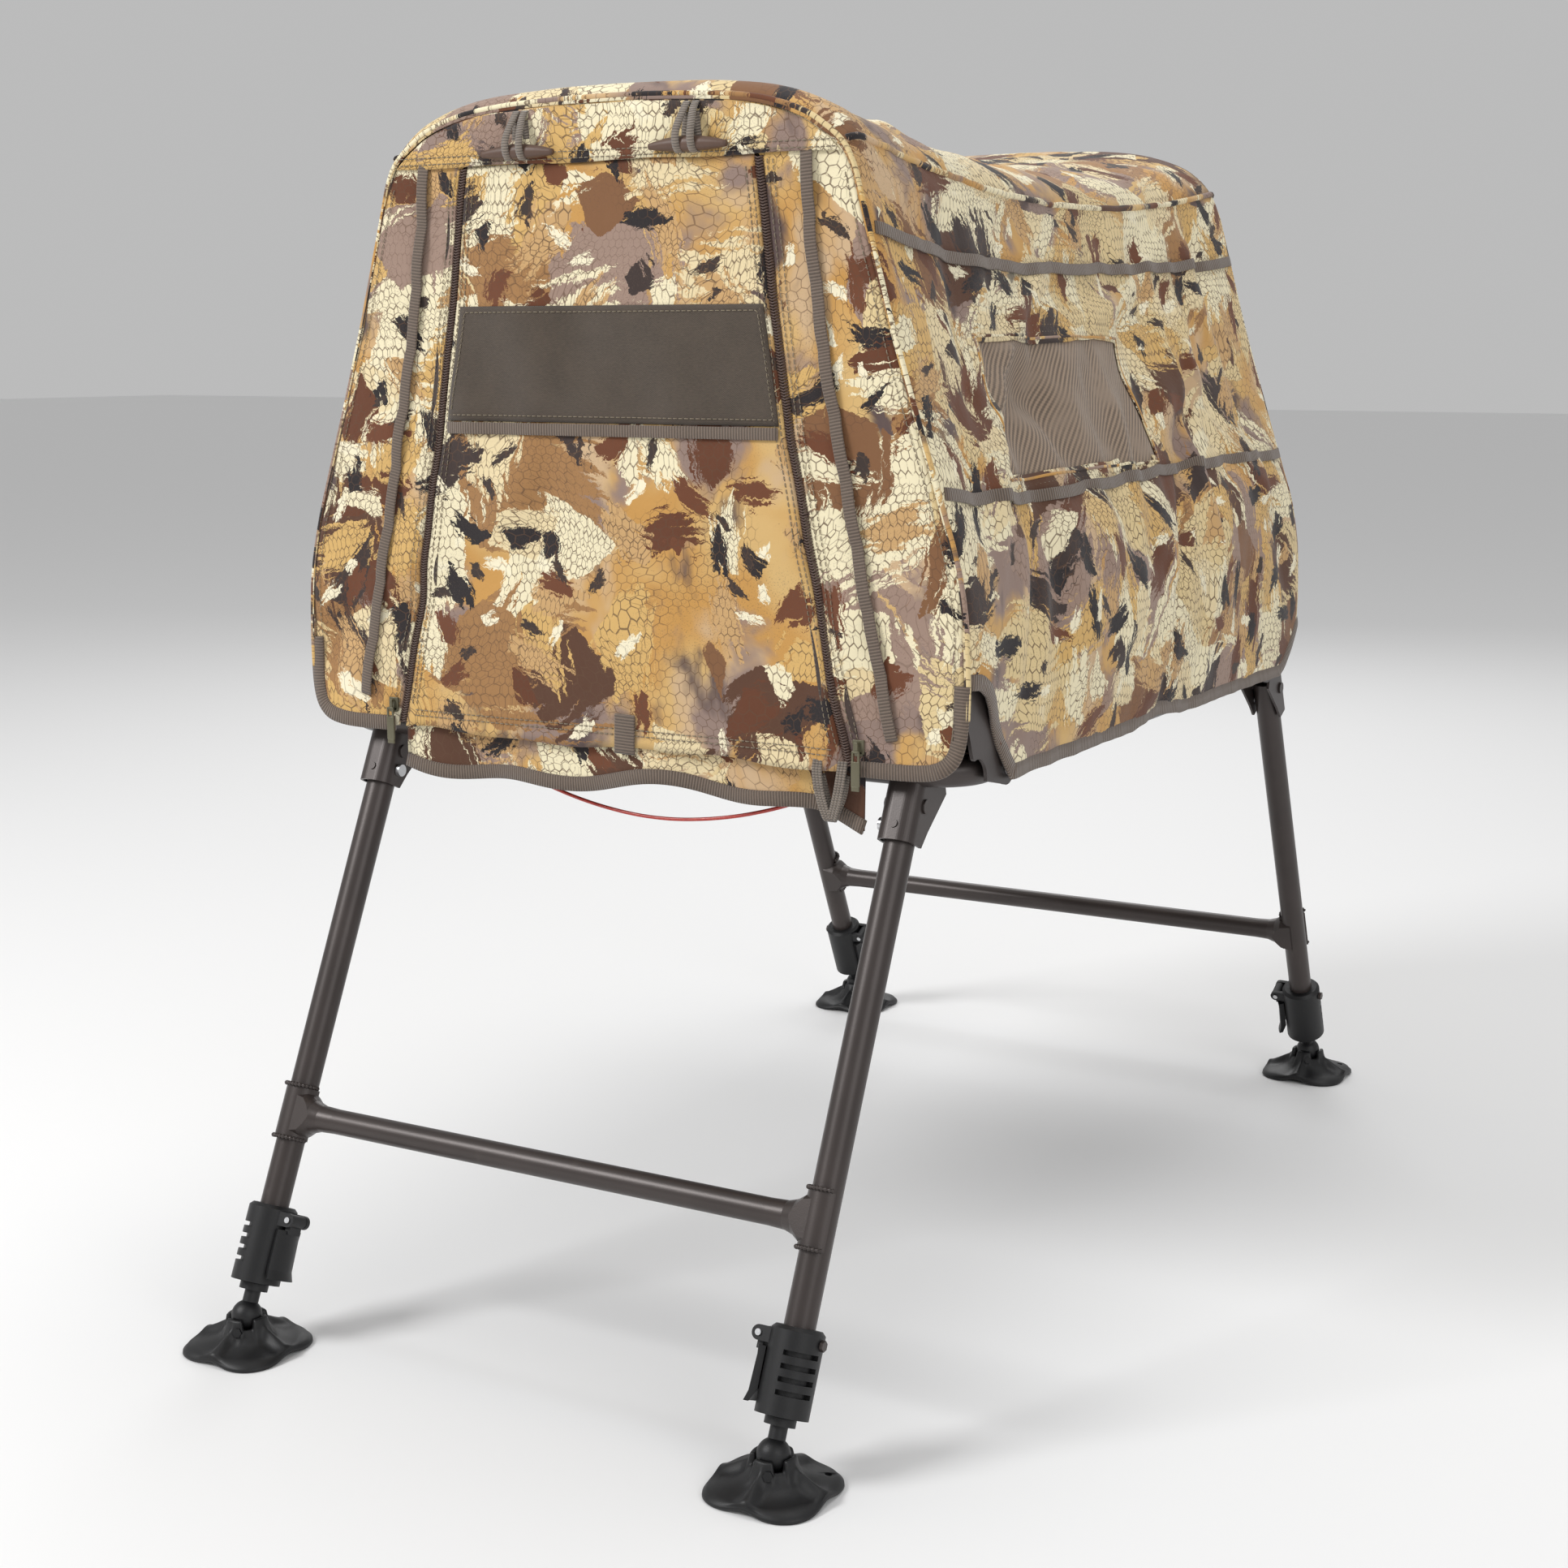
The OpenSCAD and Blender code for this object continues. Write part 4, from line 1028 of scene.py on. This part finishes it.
def feet():
    """Moulded lobed feet: dished lobes between ridges, and a petalled socket round the ball."""
    n = 144                                    # points round a ring
    a = np.linspace(0, 2 * math.pi, n, endpoint=False)
    lobe = 0.5 - 0.5 * np.cos(4 * a)
    rim = 0.056 - 0.008 * (1 - lobe)
    gap = np.abs((a / (math.pi / 2) + 0.5) % 1 - 0.5) * math.pi / 2
    ridge = np.exp(-(gap / 0.17) ** 2)
    petal = 0.5 + 0.5 * np.tanh(9 * (np.cos(4 * a) + 0.45))
    top = 0.0225 + 0.0085 * petal
    arch = 0.0042 * np.exp(-(gap / 0.30) ** 2)
    rings = [  # radius and height, from the socket's mouth over the lobes to the sole
        (0.004, 0.0145), (0.0120, 0.0148), (0.0141, 0.0205), (0.0141, top - 0.0008), (0.0148, top),
        (0.0172, top), (0.0182, top - 0.0012), (0.0192, 0.0205 + 0.0045 * petal), (0.0225, 0.0150 + 0.0070 * ridge),
        (0.0280, 0.0106 + 0.0085 * ridge + 0.0010 * lobe), (0.0350, 0.0078 + 0.0074 * ridge + 0.0014 * lobe),
        (0.0420, 0.0064 + 0.0054 * ridge + 0.0016 * lobe),
        (0.60 * rim + 0.40 * 0.046, 0.0056 + 0.0030 * ridge + 0.0010 * lobe + 0.4 * arch),
        (rim - 0.0016, 0.0040 + 0.0006 * ridge + arch), (rim - 0.0003, 0.0031 + arch), (rim, 0.0012 + arch),
        (rim - 0.0010, arch), (rim - 0.012, 0.6 * arch), (0.020, 0.0008), (0.004, 0.0008)]
    shape = np.concatenate([np.stack(np.broadcast_arrays(r * np.cos(a), r * np.sin(a), z), -1) for r, z in rings])
    last = (len(rings) - 1) * n
    faces = [(i + n + k, i + n + (k + 1) % n, i + (k + 1) % n, i + k) for i in range(0, last, n) for k in range(n)]
    faces += [tuple(range(n)), tuple(last + k for k in range(n - 1, -1, -1))]
    turn = math.radians(-72)                   # direction of the socket's screw
    screw = np.array([0.0190 * math.cos(turn), 0.0190 * math.sin(turn), 0.0215])
    out = np.array([math.cos(turn), math.sin(turn), 0.25])
    for end in ("front", "rear"):
        for side, name in SIDES:
            node = f"{end}_{name}_foot"
            low, high = corners(node)
            centre = np.array([(low[0] + high[0]) / 2, (low[1] + high[1]) / 2, 0])
            foot = piece(f"{end}_{name}_mud_foot", shape + centre, faces, "black", node)
            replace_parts(foot, node)
            bpy.ops.mesh.primitive_cylinder_add(vertices=24, radius=0.003, depth=0.06,
                                                location=centre + (side * 0.0311, 0.0311, 0))
            cutter = bpy.context.active_object
            mod = foot.modifiers.new("stake_hole", "BOOLEAN")
            mod.object, mod.operation, mod.solver = cutter, "DIFFERENCE", "EXACT"
            with bpy.context.temp_override(object=foot, active_object=foot):
                bpy.ops.object.modifier_apply(modifier=mod.name)
            bpy.data.objects.remove(cutter)
            place = centre + screw
            v, f, u = sweep([place, place + out * 0.0030], (0, 0, 1), circle_section(0.0042, 6))
            piece(node + "_screw", v, f, "black", node, u, smooth=False)


def weld_beads():
    """Rippled weld beads along the top and bottom of each crossbar saddle."""
    lean = math.radians(25)                    # lean of the leg frames
    sweep_count, round_count = 60, 8
    radius = 0.0142
    angles = np.radians(np.linspace(-20, 138, sweep_count))
    wave = 1 + 0.35 * np.sin(np.repeat(np.arange(sweep_count), round_count) * 1.3)
    for end, name in ((-1, "front"), (1, "rear")):
        bar, leg = (sum(corners(name + node)) / 2 for node in ("_crossbar", "_right_leg_tube"))
        down = np.array([0, end * math.sin(lean), -math.cos(lean)])
        face = np.array([0, end * math.cos(lean), math.sin(lean)])
        parts = []
        for side in (-1, 1):
            for level in (-0.0235, 0.0235):
                middle = np.array([side * leg[0], bar[1], bar[2]]) + down * level
                spots = [middle + np.array([-side, 0, 0]) * radius * math.cos(t) + face * radius * math.sin(t)
                         for t in angles]
                v, f, u = sweep(spots, down, circle_section(0.0016, round_count))
                core = np.repeat(np.array(spots), round_count, axis=0)
                parts.append((core + (v - core) * wave[:, None], f, u))
        v, f, u = join(parts)
        piece(name + "_weld_beads", v, f, "frame", name + "_legs", u)


for build in (seam_pipings, bindings, windows, side_straps, zips, door_details, front_details, header_band,
              toggles, skirt, corner_elastic, zip_sliders, feet, weld_beads):
    build()

# ---------------------------------------------------------------- build: cable and frame
CABLE_Y = -0.395
CABLE_LOW = float(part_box("release_cable")[0][2]) + 0.0016
CABLE = [(-0.135, 0.046), (-0.133, 0.0415), (-0.128, 0.0352), (-0.118, 0.0289), (-0.102, 0.0225), (-0.082, 0.0162),
         (-0.058, 0.0099), (-0.030, 0.0045), (0.0, 0.0009), (0.025, 0.0), (0.050, 0.0009), (0.080, 0.0045),
         (0.108, 0.0099), (0.132, 0.0162), (0.152, 0.0225), (0.168, 0.0289), (0.178, 0.0352), (0.183, 0.0415),
         (0.185, 0.046)]


def release_cable():
    """Red coated cable that hangs between its two grommets under the front of the platform."""
    route = resampled(rounded([(x, CABLE_Y, CABLE_LOW + z) for x, z in CABLE]), 90)
    v, f, u = sweep(route, (0, 1, 0), circle_section(0.0016, 12))
    cable = piece("cable", v, f, "cable", uv=u)
    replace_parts(cable, "release_cable")


release_cable()


def declare_sheet(name):
    """A cloth's map is its flat cut in metres, so its size and area are read from there."""
    mesh = bpy.data.objects[name].data
    flat = np.zeros(len(mesh.loops) * 2)
    mesh.uv_layers["cloth"].data.foreach_get("uv", flat)
    flat = flat.reshape(-1, 4, 2)
    one, two = flat[:, 2] - flat[:, 0], flat[:, 3] - flat[:, 1]
    area = np.abs(one[:, 0] * two[:, 1] - one[:, 1] * two[:, 0]).sum() / 4   # both faces of the cloth
    size = tuple(round(float(v), 3) for v in flat.max((0, 1)) - flat.min((0, 1)))
    area = min(round(float(area), 4), size[0] * size[1])


declare_sheet("shell_cloth")
declare_sheet("front_panel")
declare_sheet("rear_panel")
declare_sheet("door_cloth")
declare_sheet("door_patch")
declare_sheet("header_band")
declare_sheet("skirt_cloth")
for _, name in SIDES:
    declare_sheet(name + "_window_net")


def finish_cad_nodes():
    """Gives every CAD node its own material by its slot."""
    own = {slot: material for material, slot in KINDS.values() if material.name.startswith(slot)}
    slots = {p["node"]: p["material_slot"] for p in frame["record"]["subparts"]}
    for name, obj in frame["nodes"].items():
        if not obj.material_slots:
            obj.data.materials.append(own[slots[name]])
        for holder in obj.material_slots:
            holder.link = "OBJECT"
            holder.material = own[slots[name]]


finish_cad_nodes()

# ---------------------------------------------------------------- camera, floor and light
AZIMUTH, ELEVATION, DISTANCE = math.radians(29.5), math.radians(10.63), 2.30
LOOK_AT = Vector((-0.023, -0.087, 0.440))
LIGHT_AIM = Vector((0, 0, 0.6))


def aim(obj, direction):
    obj.rotation_mode = "QUATERNION"
    obj.rotation_quaternion = direction.to_track_quat("-Z", "Y")


def camera():
    back = Vector((math.sin(AZIMUTH) * math.cos(ELEVATION), -math.cos(AZIMUTH) * math.cos(ELEVATION),
                   math.sin(ELEVATION)))
    data = bpy.data.cameras.new("camera")
    data.sensor_width = 36.0
    data.lens = 53.46
    data.clip_start, data.clip_end = 0.02, 60.0
    obj = link(bpy.data.objects.new("camera", data))
    obj.location = LOOK_AT + back * DISTANCE
    aim(obj, -back)
    bpy.context.scene.camera = obj


def area_light(name, place, size, power):
    data = bpy.data.lights.new(name, "AREA")
    data.shape = "DISK"
    data.size, data.energy = size, power
    obj = link(bpy.data.objects.new(name, data))
    obj.location = place
    aim(obj, LIGHT_AIM - Vector(place))


def studio():
    """Plain pale floor, an even pale surround and four soft lights."""
    mesh = bpy.data.meshes.new("floor")
    r = 30.0
    mesh.from_pydata([(-r, -r, 0), (r, -r, 0), (r, r, 0), (-r, r, 0)], [], [(0, 1, 2, 3)])
    floor = link(bpy.data.objects.new("floor", mesh))
    mesh.materials.append(Tree("floor", Base_Color=(0.86, 0.86, 0.86), Roughness=0.9).material)
    world = bpy.data.worlds.new("studio")
    world.use_nodes = True
    background = world.node_tree.nodes["Background"].inputs
    background[0].default_value = (1, 1, 1, 1)
    background[1].default_value = 0.50
    bpy.context.scene.world = world
    for name, place, size, power in (("key", (-2.4, -3.2, 3.4), 1.6, 128), ("fill", (3.4, -2.0, 2.2), 2.6, 34),
                                     ("top", (0.3, 0.6, 4.0), 2.2, 36), ("back", (-1.5, 3.6, 2.6), 2.2, 30)):
        area_light(name, place, size, power)
    bpy.context.scene.view_settings.view_transform = "Standard"


camera()
studio()
